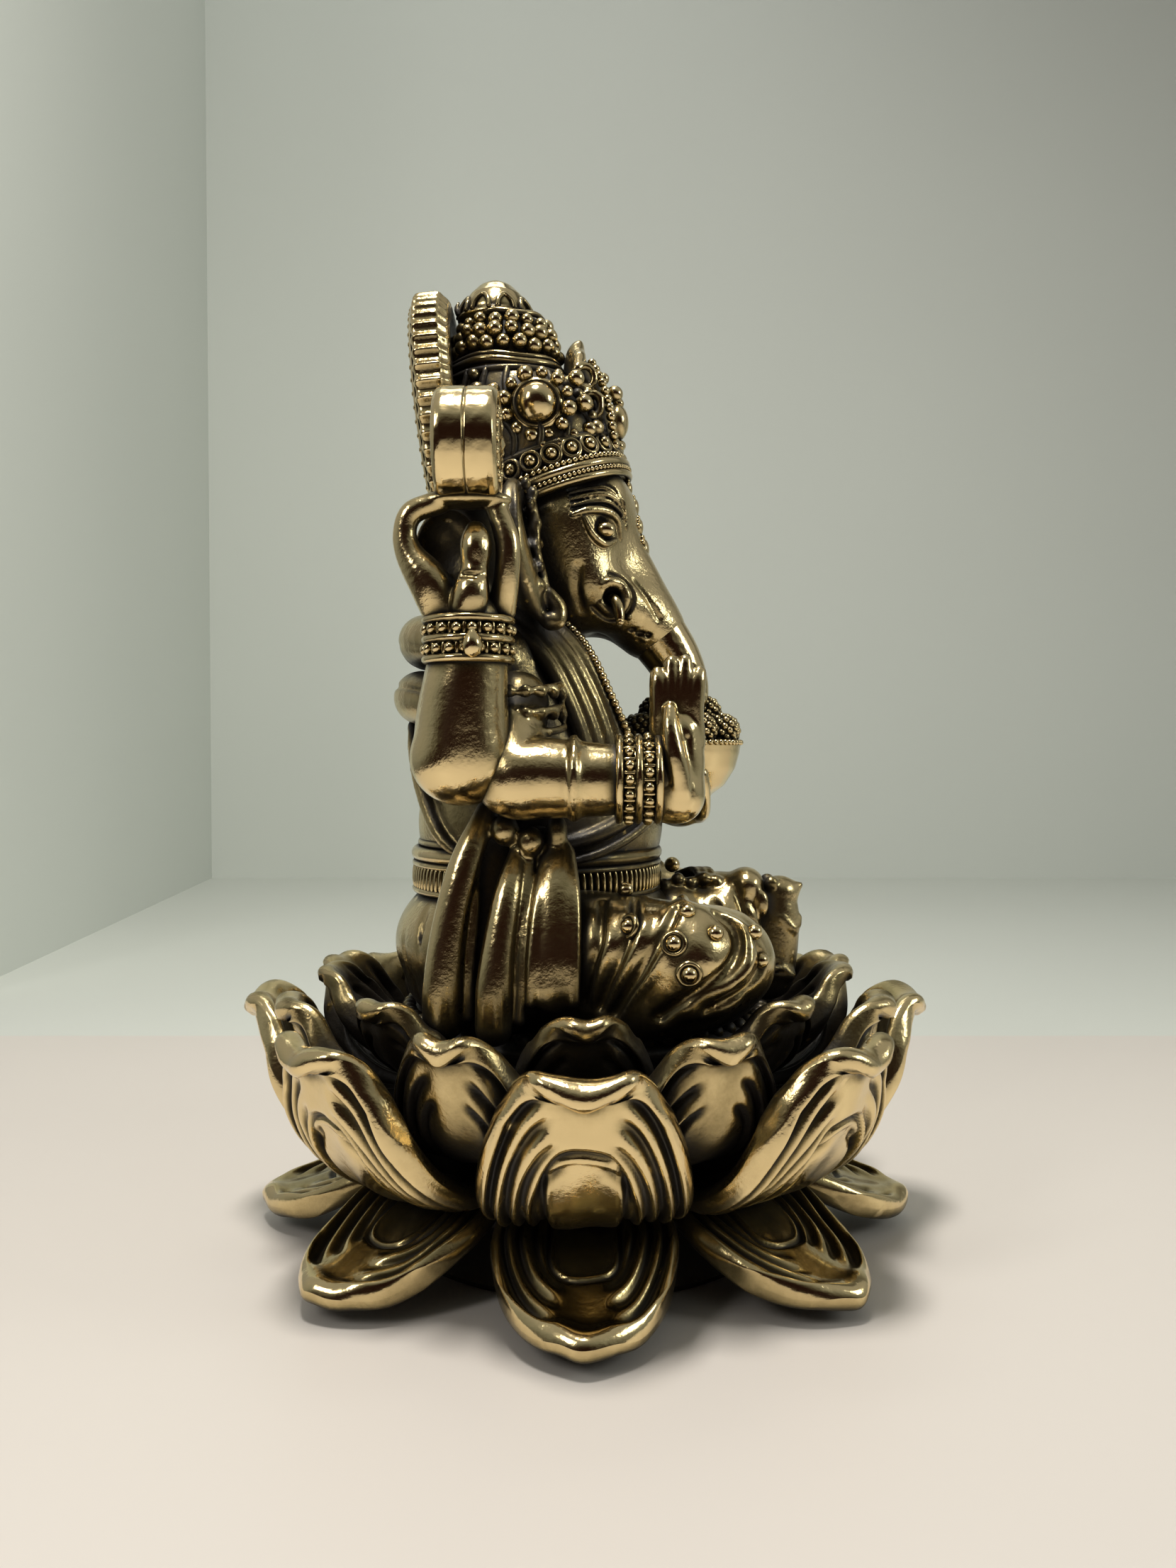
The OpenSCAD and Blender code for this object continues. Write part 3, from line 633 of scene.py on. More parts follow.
def inner_petals():
    line = [(15.5, 17.5), (19.8, 18.4), (23.6, 20.8), (25.6, 23.6), (26.4, 25.6), (27.5, 26.4), (28.6, 25.9)]
    ring = petal_ring(line, 12.6, seed=60, cup=2.2, thick=1.9, carved=(0.5, 0.6), anchor=0.35,
                      lines=(0.82, 0.62), rows=60, columns=72)
    gathered(ring).piece("inner_petal_ring", "inner_petals", AGED)


def deck():
    """The seed pod under the figure: a domed pad with a beaded rim."""
    low, high = box_mm("lotus_deck")
    r, top, bottom = high[0], high[2], low[2]
    side = [(r - 1 + math.sin(a * math.pi) * 0.8, bottom + a * (top - bottom - 0.3))
            for a in np.linspace(0, 1, 20)]
    pad = lathe([(0.01, bottom), (r - 1.2, bottom), *side, (r - 2.2, top), (0.01, top)])
    pad.join(balls(circle(r - 1.4, top - 0.3, 60), 0.8))
    pad.piece("seed_pod", "lotus_deck", AGED)


# ---------------------------------------------------------------- body

def hips():
    clay = Clay((-21, -13, 21.5), (21, 22, 40), 0.28)
    clay.ball((0, 4.6, 30.2), (17.0, 15.4, 9.2), 1)
    clay.ball((0, 3.8, 25.5), (16.2, 14.6, 5), 2)
    clay.ball((0, 5, 16.6), (30, 30, 6.2), 0.4, cut=True)
    for side in (-1, 1):
        for k in range(4):
            y = 15 - 2.6 * k
            clay.groove([(side * (6 + 2.4 * k), y + 3.2, 36), (side * (8 + 2.6 * k), y + 3.4, 31),
                         (side * (8 + 2.3 * k), y + 1.5, 25)], 0.3, 0.5)
    clay.shell().piece("seat_cloth", "hips", GRAINY)


def torso():
    clay = Clay((-16, -10, 33), (16, 20.5, 67), 0.26)
    clay.ball((0, 4.7, 42.5), (13.4, 12.9, 10.8), 1)
    clay.ball((0, 7.6, 52), (11.8, 9.6, 10.5), 3)
    clay.ball((0, 9.6, 59), (12.6, 6.6, 5.6), 2.5)
    clay.limb([(0, 7.4, 60, 5.6), (0, 4.8, 68, 5.2)], 2)
    # Sacred thread: over one shoulder, across the belly and down the back.
    thread = [(7, 14.8, 62), (2, 17.8, 56), (-4, 17.6, 49.5), (-9.4, 14.6, 42), (-11.8, 10.4, 38.6)]
    clay.ridge(thread, 0.7, 0.35)
    clay.groove(np.array(thread) + [0.9, 0.3, 0.7], 0.25, 0.3)
    belly = [(-13.4, 5, 40.5), (-12.4, -1, 41.8), (-8.6, -5.6, 44.4), (-2, -7.6, 47.5), (4, -4.4, 51.5)]
    clay.ridge(belly, 0.75, 0.4)
    clay.ridge(np.array(belly) + [-0.6, -0.4, -1.7], 0.5, 0.35)
    clay.ball((0, -8.4, 41.4), 0.7, 0.5, cut=True)
    clay.groove([(0, 17.6, 58), (0, 17.9, 50), (0, 17.6, 42)], 0.35, 1.2)
    clay.shell().piece("body_and_belly", "torso", GRAINY)


def belt():
    """A cord at the waist and, under it, a fringe of short ribs."""
    centre_y, wide, deep, ribs = 5.1, 13.3, 12.5, 112

    def oval(z, grow, steps=240):
        return circle(1, z + LIFT, steps) * [wide + grow, deep + grow, 1] + [0, centre_y, 0]

    shell = Shell()
    # Each cord's height, how far it stands out, its radius and its sides.
    for z, grow, thick, sides in ((39.4, 0.0, 0.75, 14), (40.5, -0.3, 0.38, 10), (38.4, 0.3, 0.35, 10),
                                  (35.7, 0.35, 0.34, 10), (37.0, -1.0, 1.4, 12)):
        shell.join(sweep(oval(z, grow), thick, sides, closed=True))
    shell.join(balls(oval(37.0, 0.35, ribs), 0.33, 3, [np.diag([1, 1, 4.2])] * ribs))
    shell.piece("fringed_belt", "waist_belt")


def leg_clay():
    """The right leg, folded flat, with its cloth wound round it."""
    clay = Clay((-26, -20, 21.5), (3, 8, 40.5), 0.22)
    clay.limb([(-10, 3.5, 31, 5.4), (-15, -1.5, 31.4, 5.3), (-18, -7.6, 31.2, 5.0),
               (-17.0, -12.4, 30.6, 4.9), (-13, -13.4, 29.4, 4.3), (-7, -13.0, 29, 3.6),
               (-1, -12.6, 29, 3.2)], 1)
    clay.limb([(-14, 2, 26.4, 3.6), (-18.4, -5, 26.8, 3.4), (-18, -10, 27.2, 3.2),
               (-12, -13.4, 26.8, 2.8)], 2)
    fold = clay.skin
    # The cloth wraps over itself twice: each turn has a deep line behind and a full roll in front.
    upper = [(-8.2, 36.0), (-7.4, 34.6), (-6.2, 32.8), (-4.9, 30.4), (-3.6, 28.4), (-2.6, 26.4)]
    lower = [(-11.9, 35.4), (-13.3, 34.2), (-13.6, 32.4), (-12.6, 30.8), (-10.8, 29.4), (-8.6, 28.0),
             (-6.6, 26.4)]
    swirl = [(-15.4, 33.0), (-16.0, 31.0), (-15.0, 29.2), (-13.0, 28.0), (-10.8, 27.0)]
    clay.ridge(fold([(y - 0.8, z + 0.3) for y, z in upper], -0.30), 0.9, 0.5)
    clay.ridge(fold([(y - 0.8, z - 0.7) for y, z in lower], -0.35), 1.0, 0.5)
    clay.limb(np.c_[fold([(-9.6, 34.0), (-9.8, 31.4), (-8.4, 29.0)], -1.6), [2.0, 2.6, 2.0]], 1.6)
    clay.ridge(fold([(-13.8, 29.0), (-12.4, 27.6), (-9.6, 26.8)], -0.4), 1.1, 0.9)
    clay.groove(fold(upper, 0.0), 0.60, 0.25)
    clay.groove(fold(lower, 0.0), 0.60, 0.25)
    clay.groove(fold(swirl, 0.1), 0.45, 0.3)
    clay.ridge(fold([(-14.6, 32.6), (-14.4, 30.8), (-12.8, 29.3), (-11.2, 28.3)], -0.1), 0.45, 0.4)
    for line in ([(-4.6, 36.4), (-4.4, 34.4), (-3.4, 31.8), (-2.2, 29.0), (-1.4, 27.0)],
                 [(-1.6, 36.0), (-1.4, 33.0), (-0.6, 30.0), (0.0, 27.2)]):
        clay.groove(fold(line, 0.1), 0.35, 0.6)
        clay.ridge(fold([(y - 0.9, z) for y, z in line], -0.15), 0.42, 0.5)
    for x, z in ((-3, 31.4), (-6, 31), (-9.5, 30.6)):
        clay.groove([(x, -17.5, z - 3), (x - 0.6, -15.9, z), (x - 1.4, -12.6, z + 1.6)], 0.3, 0.5)
    return clay


# Studs on the right leg as (y, z), and whether a raised ring goes round each.
LEG_STUDS = [(-3.9, 34.3, 1), (-3.8, 37.0, 0), (-9.1, 35.7, 0), (-7.8, 33.1, 1), (-11.5, 33.9, 0),
             (-9.1, 30.5, 1), (-15.9, 31.0, 0), (-15.2, 33.7, 0)]
STUD_R = 0.74


def legs_and_studs():
    clay = leg_clay()
    pair(clay.shell(), "leg_cloth", "leg", BRASS)
    studs = Shell()
    for y, z, ring in LEG_STUDS:
        here = clay.skin([(y, z)], 0.15)[0] + LIFTED
        studs.join(balls([here], STUD_R))
        if ring:
            out = unit(np.array([-1, 0.25 * (y + 9), 0.12 * (z - 31)]))
            studs.join(sweep(facing_ring(here, out, 0.95, 28) - out * 0.1, 0.26, 10, closed=True))
    both = both_sides(studs)
    both.join(balls([(10.5, -10.0, 36.9 + LIFT), (13.4, -12.2, 35.0 + LIFT)], 0.9))
    both.piece("leg_stud_set", "leg_studs")


def feet():
    """Crossed feet in front of the shins, heaped up towards the middle, with their anklets."""
    clay = Clay((-11, -21, 24.5), (11, -3, 40), 0.2)
    clay.ball((0.5, -14.2, 31.2), (5.4, 5.0, 5.0), 1)
    clay.ball((0.5, -9.4, 32.4), (5.0, 4.0, 3.8), 1)
    clay.limb([(8, -8.6, 32.6, 2.6), (4.4, -11.4, 33.8, 2.6), (1.2, -14.4, 34.6, 2.4),
               (-0.6, -16.6, 34.6, 2.2)], 1.4)
    clay.ball((-0.6, -17.0, 35.7), (2.6, 2.0, 2.0), 0.6)
    for k in range(5):
        clay.ball((-2.6 + k * 1.15, -18.5 + 0.16 * abs(k - 1), 34.0 - 0.3 * k), (0.62, 0.9, 1.5), 0.25)
    clay.limb([(-8, -10, 29.6, 2.4), (-4, -13, 29.6, 2.4), (0, -15.8, 29.2, 2.2), (3, -16.8, 28.6, 1.8)], 1.2)
    for k in range(5):
        clay.ball((4.4 + 0.1 * k, -18.0 + k * 0.8, 28.9), (0.9, 0.55, 0.9), 0.25)
    # Anklets, and beads along the near one.
    anklet = np.array([(-1.6, -12.0, 36.6), (1.2, -11.6, 37.2), (3.4, -9.8, 36.6)])
    for k in range(3):
        clay.ridge(anklet - [(0, 0.8 * k, 0.1 * k), (0, 0.8 * k, 0), (0, 0.8 * k, 0)], 0.42, 0.25)
    for y, z in ((-8.4, 35.8), (-9.8, 36.4), (-11.2, 36.0), (-12.6, 36.5), (-13.8, 36.2)):
        clay.ball((-1.2, y, z), (0.9, 0.75, 0.75), 0.15)
    clay.limb([(-2.2, -15.4, 33.6, 0.7), (-2.8, -16.8, 33.2, 0.8), (-2.6, -17.8, 31.6, 0.6)], 0.25)
    for line in ([(-3.4, -13, 35.2), (-4.0, -14.2, 32.6), (-4.2, -14.6, 29.6)],
                 [(-2.8, -15.6, 36.0), (-3.6, -16.4, 33.0), (-3.4, -17.2, 30.4)]):
        clay.groove(line, 0.3, 0.5)
    clay.shell().piece("crossed_feet", "feet", BRASS)


def sash_clay():
    """The right side drape: gathered at the waist, it spreads in broad folds to the deck."""
    clay = Clay((-25, -3, 22.5), (-9, 18, 47.5), 0.22)
    outward = (1, 0, 0)
    under = [[(-13.8, 8.4, 43.6, 1.8), (-14.6, 9.2, 37, 3.0), (-15.2, 9.2, 31, 3.8), (-15.4, 9.0, 26, 3.8)],
             [(-15.2, 4.4, 41.6, 1.4), (-16.6, 3.4, 36, 2.2), (-17.6, 3.0, 30, 2.4), (-17.8, 3.0, 28.2, 2.2)]]
    folds = [[(-15.4, 9.2, 44.2, 1.1), (-17.0, 11.0, 39.6, 1.5), (-18.0, 12.3, 34, 1.7),
              (-18.4, 12.8, 28.8, 2.0), (-18.4, 12.9, 25.4, 2.0)],
             [(-16.6, 6.2, 40.6, 0.8), (-18.6, 7.0, 37, 1.3), (-19.8, 7.7, 32.6, 1.5),
              (-20.4, 8.1, 28.6, 1.7), (-20.4, 8.2, 25, 1.7)]]
    hems = [[(-16.8, 5.0, 40.0, 0.45), (-18.8, 5.3, 36, 0.5), (-20.2, 5.6, 31, 0.5), (-20.6, 5.8, 25.6, 0.5)],
            [(-16.4, 10.4, 40.4, 0.4), (-17.6, 10.0, 36, 0.5), (-18.6, 10.4, 30, 0.5),
             (-18.8, 10.5, 25.6, 0.5)]]
    for line in under:
        clay.limb(line, 1, flat=(outward, 0.5))
    for line in folds:
        clay.limb(line, 0.4, steps=24, flat=(outward, 0.85))
    for line in hems:
        clay.limb(line, 0.3, steps=22)
    # The tail in front: a flat panel with a raised border down each side.
    clay.limb([(-16.4, 2.4, 40.4, 1.5), (-18.8, 2.5, 36.4, 2.1), (-20.4, 2.7, 31.4, 2.3),
               (-20.8, 2.8, 28.6, 2.2)], 0.5, steps=22, flat=(outward, 0.42))
    for dy in (-1.9, 2.0):
        clay.limb([(-16.6, 2.4 + 0.6 * dy, 40.4, 0.35), (-19.4, 2.5 + 0.9 * dy, 36.2, 0.45),
                   (-20.9, 2.7 + dy, 31.4, 0.5), (-21.2, 2.8 + dy, 27.4, 0.5)], 0.35, steps=18)
    # Knots where the cloth is tucked in.
    for at, radii in (((-16.6, 7.4, 42.6), (1.4, 1.3, 1.5)), ((-17.0, 5.0, 41.6), (1.3, 1.2, 1.4)),
                      ((-16.2, 2.6, 42.4), (1.3, 1.0, 1.7))):
        clay.ball(at, radii, 0.4)
    for y in (8.0, 5.4, 2.6):
        clay.groove([(-18.2, y + 0.7, 44.0), (-18.4, y, 42.2), (-18.4, y + 0.5, 40.6)], 0.3, 0.3)
    return clay


def sashes():
    both_sides(sash_clay().shell()).piece("side_sashes", "sashes")


def shawl():
    """Cloth rolled over the shoulders, its edges curving down over the chest in narrow bands."""
    clay = Clay((-16, -7.5, 45), (1.2, 22, 68), 0.2)
    front = np.array([(-4.4, 7.6, 65.4), (-6.2, 3.6, 62.8), (-7.0, 0.9, 60.0), (-7.2, -1.1, 56.4),
                      (-6.9, -2.8, 52.2), (-6.4, -3.7, 48.6)])
    for k in range(4):
        radius = np.array([0.7, 0.85, 0.95, 0.95, 0.9, 0.7]) * (1.0 - 0.04 * k)
        clay.limb(np.c_[front + k * np.array([-0.75, 1.05, -0.30]), radius], 0.22, steps=24)
    clay.limb(np.c_[front + [-0.6, 2.4, -0.5], [1.6, 2.0, 2.2, 2.2, 2.0, 1.6]], 0.3, steps=24,
              flat=((-0.8, -0.6, 0), 0.5))
    for z, y, r in ((61.2, 16.9, 2.6), (55.4, 17.3, 2.7)):
        clay.limb([(1.4, y, z, r), (-5, y - 0.6, z, r), (-10.0, y - 3.4, z - 0.6, r * 0.86),
                   (-12.0, y - 6.4, z - 1.6, r * 0.6)], 0.5)
    for k in range(4):
        clay.groove([(1.5, 19.9 - 0.1 * k, 62.6 - k * 2.1), (-6, 18.9, 62.8 - k * 2.1),
                     (-11.6, 15.3, 61.6 - k * 2.0)], 0.22, 0.3)
    both_sides(clay.shell()).piece("rolled_shawl", "shawl", AGED)


def garland():
    """A string of beads down each side of the chest to a pendant, and a collar of beads above it."""
    string = smooth([(-4.6, 4.2, 64.8), (-6.2, 1.0, 62.0), (-7.4, -0.9, 59.2), (-7.7, -2.5, 55.8),
                     (-7.0, -4.2, 52.0), (-3.6, -5.2, 49.6), (0, -6.6, 48.4)], 34) + LIFTED
    collar = smooth([(-5.2, 4.4, 62.6), (-3.4, 0.6, 60.4), (0, -0.8, 59.4)], 13) + LIFTED
    right = gathered([sweep(string, 0.3, 8), balls(string, 0.44, 2), balls(collar, 0.5, 2),
                      sweep(collar, 0.28, 8)])
    both = both_sides(right)
    both.join(balls([(0, -7.0, 47.6 + LIFT)], 1.0, 3, [np.diag([1, 0.7, 1.3])]))
    both.piece("bead_garland", "garland")


# ---------------------------------------------------------------- arms and hands

def rear_arms():
    clay = Clay((-25.5, 4.5, 43.5), (-5, 17.5, 64), 0.24)
    clay.limb([(-10.5, 11.2, 57.6, 4.3), (-14.6, 11.4, 53.4, 4.4), (-18.4, 11.2, 49.8, 4.4),
               (-19.4, 11.0, 50.6, 4.3), (-19.8, 10.8, 54.6, 3.9), (-20.0, 10.3, 58.4, 3.4),
               (-20.1, 10.2, 61.6, 2.9)], 1.2, steps=36)
    clay.ball((-19.2, 11.0, 49.0), (4.0, 4.4, 3.6), 1.5)
    pair(clay.shell(), "rear_arm_look", "rear_arm")


def right_front_arm():
    clay = Clay((-25, -10.5, 41), (-8, 13, 59), 0.24)
    clay.limb([(-13.4, 6.4, 54.6, 3.0), (-16.6, 7.0, 50.6, 3.5), (-18.8, 6.4, 47.7, 3.8),
               (-19.0, 3.6, 47.5, 3.7), (-19.0, -0.6, 47.3, 3.4), (-19.0, -4.6, 47.4, 3.0),
               (-18.9, -7.6, 47.4, 2.7)], 1.2, steps=36)
    # The sleeve ends half way along the forearm.
    ring = np.array([(-19 + 3.75 * math.cos(a), 1.5, 47.45 + 3.75 * math.sin(a))
                     for a in np.linspace(0, 2 * math.pi, 17)])
    clay.groove(ring, 0.22, 0.5)
    clay.ridge(ring + [0, -0.55, 0], 0.28, 0.8)
    # Armlet: bands with jewels between them, round the upper arm.
    band = np.array([(-11.6, 2.4, 56.6), (-15.2, 2.6, 56.0), (-18.0, 5.2, 55.4), (-18.4, 8.2, 55.2)])
    for k in range(3):
        clay.ridge(band - np.outer([0.2, 0.2, 0.2, 0], [0, k, 0]) - [0, 0, 2.0 * k], 0.42, 0.15)
    for x, y in ((-12.6, 2.2), (-14.2, 2.2), (-15.8, 2.9), (-17.2, 4.0), (-18.2, 5.4), (-18.5, 6.9)):
        for z in (55.4, 53.4):
            clay.ball((x, y, z), (0.62, 0.62, 0.7), 0.12)
    clay.shell().piece("right_front_arm_look", "right_front_arm")


def left_front_arm():
    clay = Clay((5, -12, 39), (24.5, 13, 59), 0.26)
    clay.limb([(13.4, 6.4, 54.6, 3.0), (16.6, 7.0, 50.6, 3.5), (18.6, 6.0, 47.4, 3.8), (17.6, 2.4, 46.6, 3.6),
               (14.8, -2.6, 45.8, 3.2), (11.6, -6.2, 45.0, 2.7), (9.6, -8.0, 44.6, 2.4)], 1.2, steps=36)
    clay.ball((17.2, 4.0, 53.6), 0.9, 0.2)
    clay.shell().piece("left_front_arm_look", "left_front_arm")


def rear_hands():
    """A raised hand that holds its disc between thumb and bent fingers, hollow in between."""
    clay = Clay((-25.5, 4.5, 59.0), (-14.5, 18.5, 74.5), 0.17)
    clay.limb([(-20, 10.4, 60.0, 2.9), (-19.6, 10.8, 62.6, 2.7), (-18.4, 11.4, 65.4, 2.0)], 0.6)
    clay.ball((-17.4, 11.2, 67.4), (2.1, 4.6, 5.6), 0.5)
    clay.ball((-18.6, 12.6, 68.2), (2.6, 3.0, 3.6), 0.3, cut=True)
    # Behind: a bent finger. In front: a straight one. Between them: the thumb.
    clay.limb([(-20.6, 12.2, 61.6, 1.9), (-21.2, 13.6, 64.6, 1.9), (-21.2, 15.4, 67.2, 1.3),
               (-21.2, 15.9, 69.2, 1.05), (-21.2, 15.2, 71.0, 1.05), (-21.0, 12.8, 71.9, 1.0)], 0.4)
    clay.limb([(-20.2, 7.4, 62.6, 1.3), (-21.2, 6.9, 65.4, 1.15), (-21.4, 6.8, 68.4, 1.1),
               (-21.0, 7.8, 71.4, 1.0)], 0.3)
    clay.limb([(-21.6, 9.6, 69.2, 1.0), (-22.2, 9.5, 67.9, 1.45), (-22.4, 9.6, 65.9, 1.2),
               (-22.6, 9.9, 63.8, 1.6), (-22.4, 10.2, 62.6, 1.6)], 0.25)
    clay.ball((-20.8, 10.3, 72.2), (2.0, 3.9, 0.85), 0.4)
    clay.groove([(-23.4, 8.5, 68.6), (-23.8, 8.6, 66.8), (-24.0, 8.8, 64.6)], 0.25, 0.25)
    clay.groove([(-23.3, 8.5, 65.4), (-23.8, 9.4, 65.1), (-23.4, 10.6, 65.2)], 0.3, 0.2)
    clay.groove([(-22.9, 7.9, 69.4), (-23.0, 7.9, 67.0), (-22.8, 8.1, 63.6)], 0.3, 0.25)
    pair(clay.shell(), "rear_hand_look", "rear_hand", BRASS)


def front_hands():
    """The right hand is raised, fingers together. The left one holds the bowl from below."""
    clay = Clay((-24.5, -13.5, 41.5), (-13, -3, 60.8), 0.16)
    clay.limb([(-19, -6.0, 47.2, 2.7), (-18.9, -7.8, 46.0, 2.6), (-18.9, -8.6, 48.6, 2.3),
               (-18.9, -8.5, 51.6, 2.1)], 0.6)
    clay.ball((-18.9, -8.6, 45.9), (2.7, 2.3, 2.5), 0.6)
    for y, lean, top in ((-6.75, 0.1, 57.5), (-7.8, 0.0, 58.5), (-8.85, -0.1, 58.6), (-9.85, -0.25, 57.6)):
        clay.limb([(-19.0, y - 0.1, 50.6, 1.0), (-19.4, y, 53.6, 0.90), (-19.4, y + lean, 56.0, 0.84),
                   (-19.2, y + 2 * lean, top - 0.6, 0.66)], 0.14)
    clay.limb([(-20.8, -8.6, 46.6, 1.2), (-21.4, -8.0, 49.4, 1.0), (-21.2, -7.6, 52.0, 0.8),
               (-20.6, -7.6, 53.6, 0.6)], 0.35)
    clay.groove([(-21.6, -9.6, 46.0), (-21.5, -9.5, 48.6), (-21.0, -9.2, 51.0)], 0.2, 0.3)
    clay.shell().piece("right_front_hand_look", "right_front_hand", BRIGHT)

    clay = Clay((-5.5, -17, 39.5), (14, -3, 52), 0.2)
    clay.limb([(10.4, -7.4, 44.6, 2.3), (7.4, -9.0, 43.8, 2.3), (4.0, -10.2, 43.4, 2.3),
               (1.4, -10.6, 43.4, 2.0)], 0.8, flat=((0, 0, 1), 0.75))
    for k in range(4):
        y = -12.2 + 1.7 * k
        clay.limb([(1.6, y, 43.2, 1.05), (-1.4, y, 43.8, 1.0), (-3.4, y + 0.1, 45.8, 0.9),
                   (-4.0, y + 0.2, 47.6, 0.75)], 0.25)
    clay.limb([(7.6, -12.0, 44.4, 1.2), (7.4, -14.0, 46.6, 1.1), (6.2, -15.0, 48.8, 0.9)], 0.4)
    clay.shell().piece("left_front_hand_look", "left_front_hand", BRIGHT)


def bracelet(r):
    """A bracelet about Z: three rims, cross bars and two rows of beads over a thin sleeve."""
    pitch, count = 1.75, 18
    shell = gathered(sweep(circle(r, k * pitch), 0.36, 12, closed=True) for k in (-1, 0, 1))
    inner, outer = r - 0.75, r - 0.25
    shell.join(lathe([(inner, -pitch), (outer, -pitch), (outer, pitch), (inner, pitch), (inner, -pitch)]))
    for row, phase in ((-0.5, 0.0), (0.5, 0.5)):
        shell.join(balls(circle(r + 0.02, row * pitch, count, phase), 0.47))
        bars = circle(r - 0.15, row * pitch, count, phase + 0.5)
        shell.join(balls(bars, 0.24, 2, [np.diag([1, 1, 3.2])] * count))
    return shell


def bracelets():
    front = bracelet(3.75).moved(placed((-19, -4.85, 47.4), (90, 0, 0)))
    front.join(bracelet(3.3), placed((12.6, -5.2, 45.3), (90, 0, -38)))
    front.piece("front_bracelet_pair", "front_bracelets")
    jewel = lathe([(0.01, -1.3), (0.7, -0.9), (0.95, -0.2), (0.75, 0.5), (0.3, 1.2), (0.01, 1.7)], 24)
    right = bracelet(3.85).moved(placed((-20, 10.4, 59.8))).join(jewel, placed((-24.0, 9.7, 59.2)))
    both_sides(right).piece("rear_bracelet_pair", "rear_bracelets")


def hammered(angle, index):
    """Shallow dents round a rim, as a share of its radius."""
    dents = np.sin(13 * angle + 0.16 * index) * np.sin(0.21 * index + 3 * angle)
    return 1 + 0.003 * dents + 0.002 * np.sin(29 * angle)


def hand_discs():
    """A thick disc with a sunk line round its rim and a rosette on each face."""
    low, high = box_mm("right_disc")
    r, half = (high[2] - low[2]) / 2, 2.8
    rim = [(r - 0.1, -half + 0.35), (r, -half + 0.8), (r, -0.1), (r - 0.14, -0.04), (r - 0.14, 0.04),
           (r, 0.1), (r, half - 0.8), (r - 0.1, half - 0.35)]
    face = [(r - 0.5, half), (r - 1.2, half), (r - 1.4, half - 0.4), (r - 2.6, half - 0.3),
            (r - 2.8, half + 0.1), (0.9, half + 0.2), (0.01, half + 0.5)]
    profile = [(x, -z) for x, z in face[::-1]] + rim + face
    disc = lathe(densify(profile, 0.09), 96, hammered)
    for side in (-1, 1):
        disc.join(balls(circle(r - 2.0, side * (half - 0.2), 16), 0.42, 2))
    pair(disc.moved(placed((low + high) / 2 - LIFTED, (90, 0, 0))), "disc_look", "disc")


# ---------------------------------------------------------------- offering

def bowl_and_sweets():
    low, high = box_mm("bowl")
    r, h = (high[0] - low[0]) / 2, high[2] - low[2]
    stand = placed([*(low + high)[:2] / 2, low[2] - LIFT])
    outside = [(0.01, 0), (r * 0.42, 0), (r * 0.5, 0.25), (r * 0.72, h * 0.2), (r * 0.9, h * 0.5),
               (r * 0.98, h * 0.8), (r * 0.98, h * 0.86), (r, h * 0.9), (r, h)]
    inside = [(r - 0.7, h), (r - 0.8, h * 0.8), (r * 0.6, h * 0.3), (0.01, 0.9)]
    bowl = lathe(densify(outside + inside), 84).join(round_beads(r - 0.05, h * 0.95, 0.32, 60))
    bowl.moved(stand).piece("offering_bowl", "bowl")

    # Each sweet is a ball covered with grains, which lie on it in a spiral.
    size, grains, golden = 1.55, 60, math.pi * (3 - math.sqrt(5))
    upper_turn = 0.4 * 5 / (2 * math.pi)
    seats = [(0, 0, h + 1.2), *circle(r - 1.7, h + 1.0, 9), *circle(2.8, h + 2.9, 5, upper_turn),
             (0.2, 0, h + 4.0)]
    heap = Shell()
    for k, seat in enumerate(seats):
        i = np.arange(grains)
        z = 1 - 2 * (i + 0.5) / grains
        a = golden * i + k
        ring = np.sqrt(1 - z * z)
        spots = np.stack([ring * np.cos(a), ring * np.sin(a), z], -1) * size + seat
        heap.join(balls([seat], size)).join(balls(spots, 0.40, 2))
    heap.join(lathe([(0.01, 1.6), (r * 0.6, h * 0.4), (r * 0.8, h * 0.8), (0.01, h)], 48))
    heap.moved(stand).piece("heap_of_sweets", "sweets", AGED)


# ---------------------------------------------------------------- head

TRUNK = [(0, -2.1, 75.0, 3.2), (0, -2.6, 71.6, 3.4), (0, -4.8, 67.0, 3.5), (0, -7.4, 62.8, 3.2),
         (0, -9.4, 59.8, 2.9), (0.2, -10.5, 57.2, 2.65), (1.0, -10.9, 54.8, 2.3), (2.2, -10.6, 53.0, 1.9)]


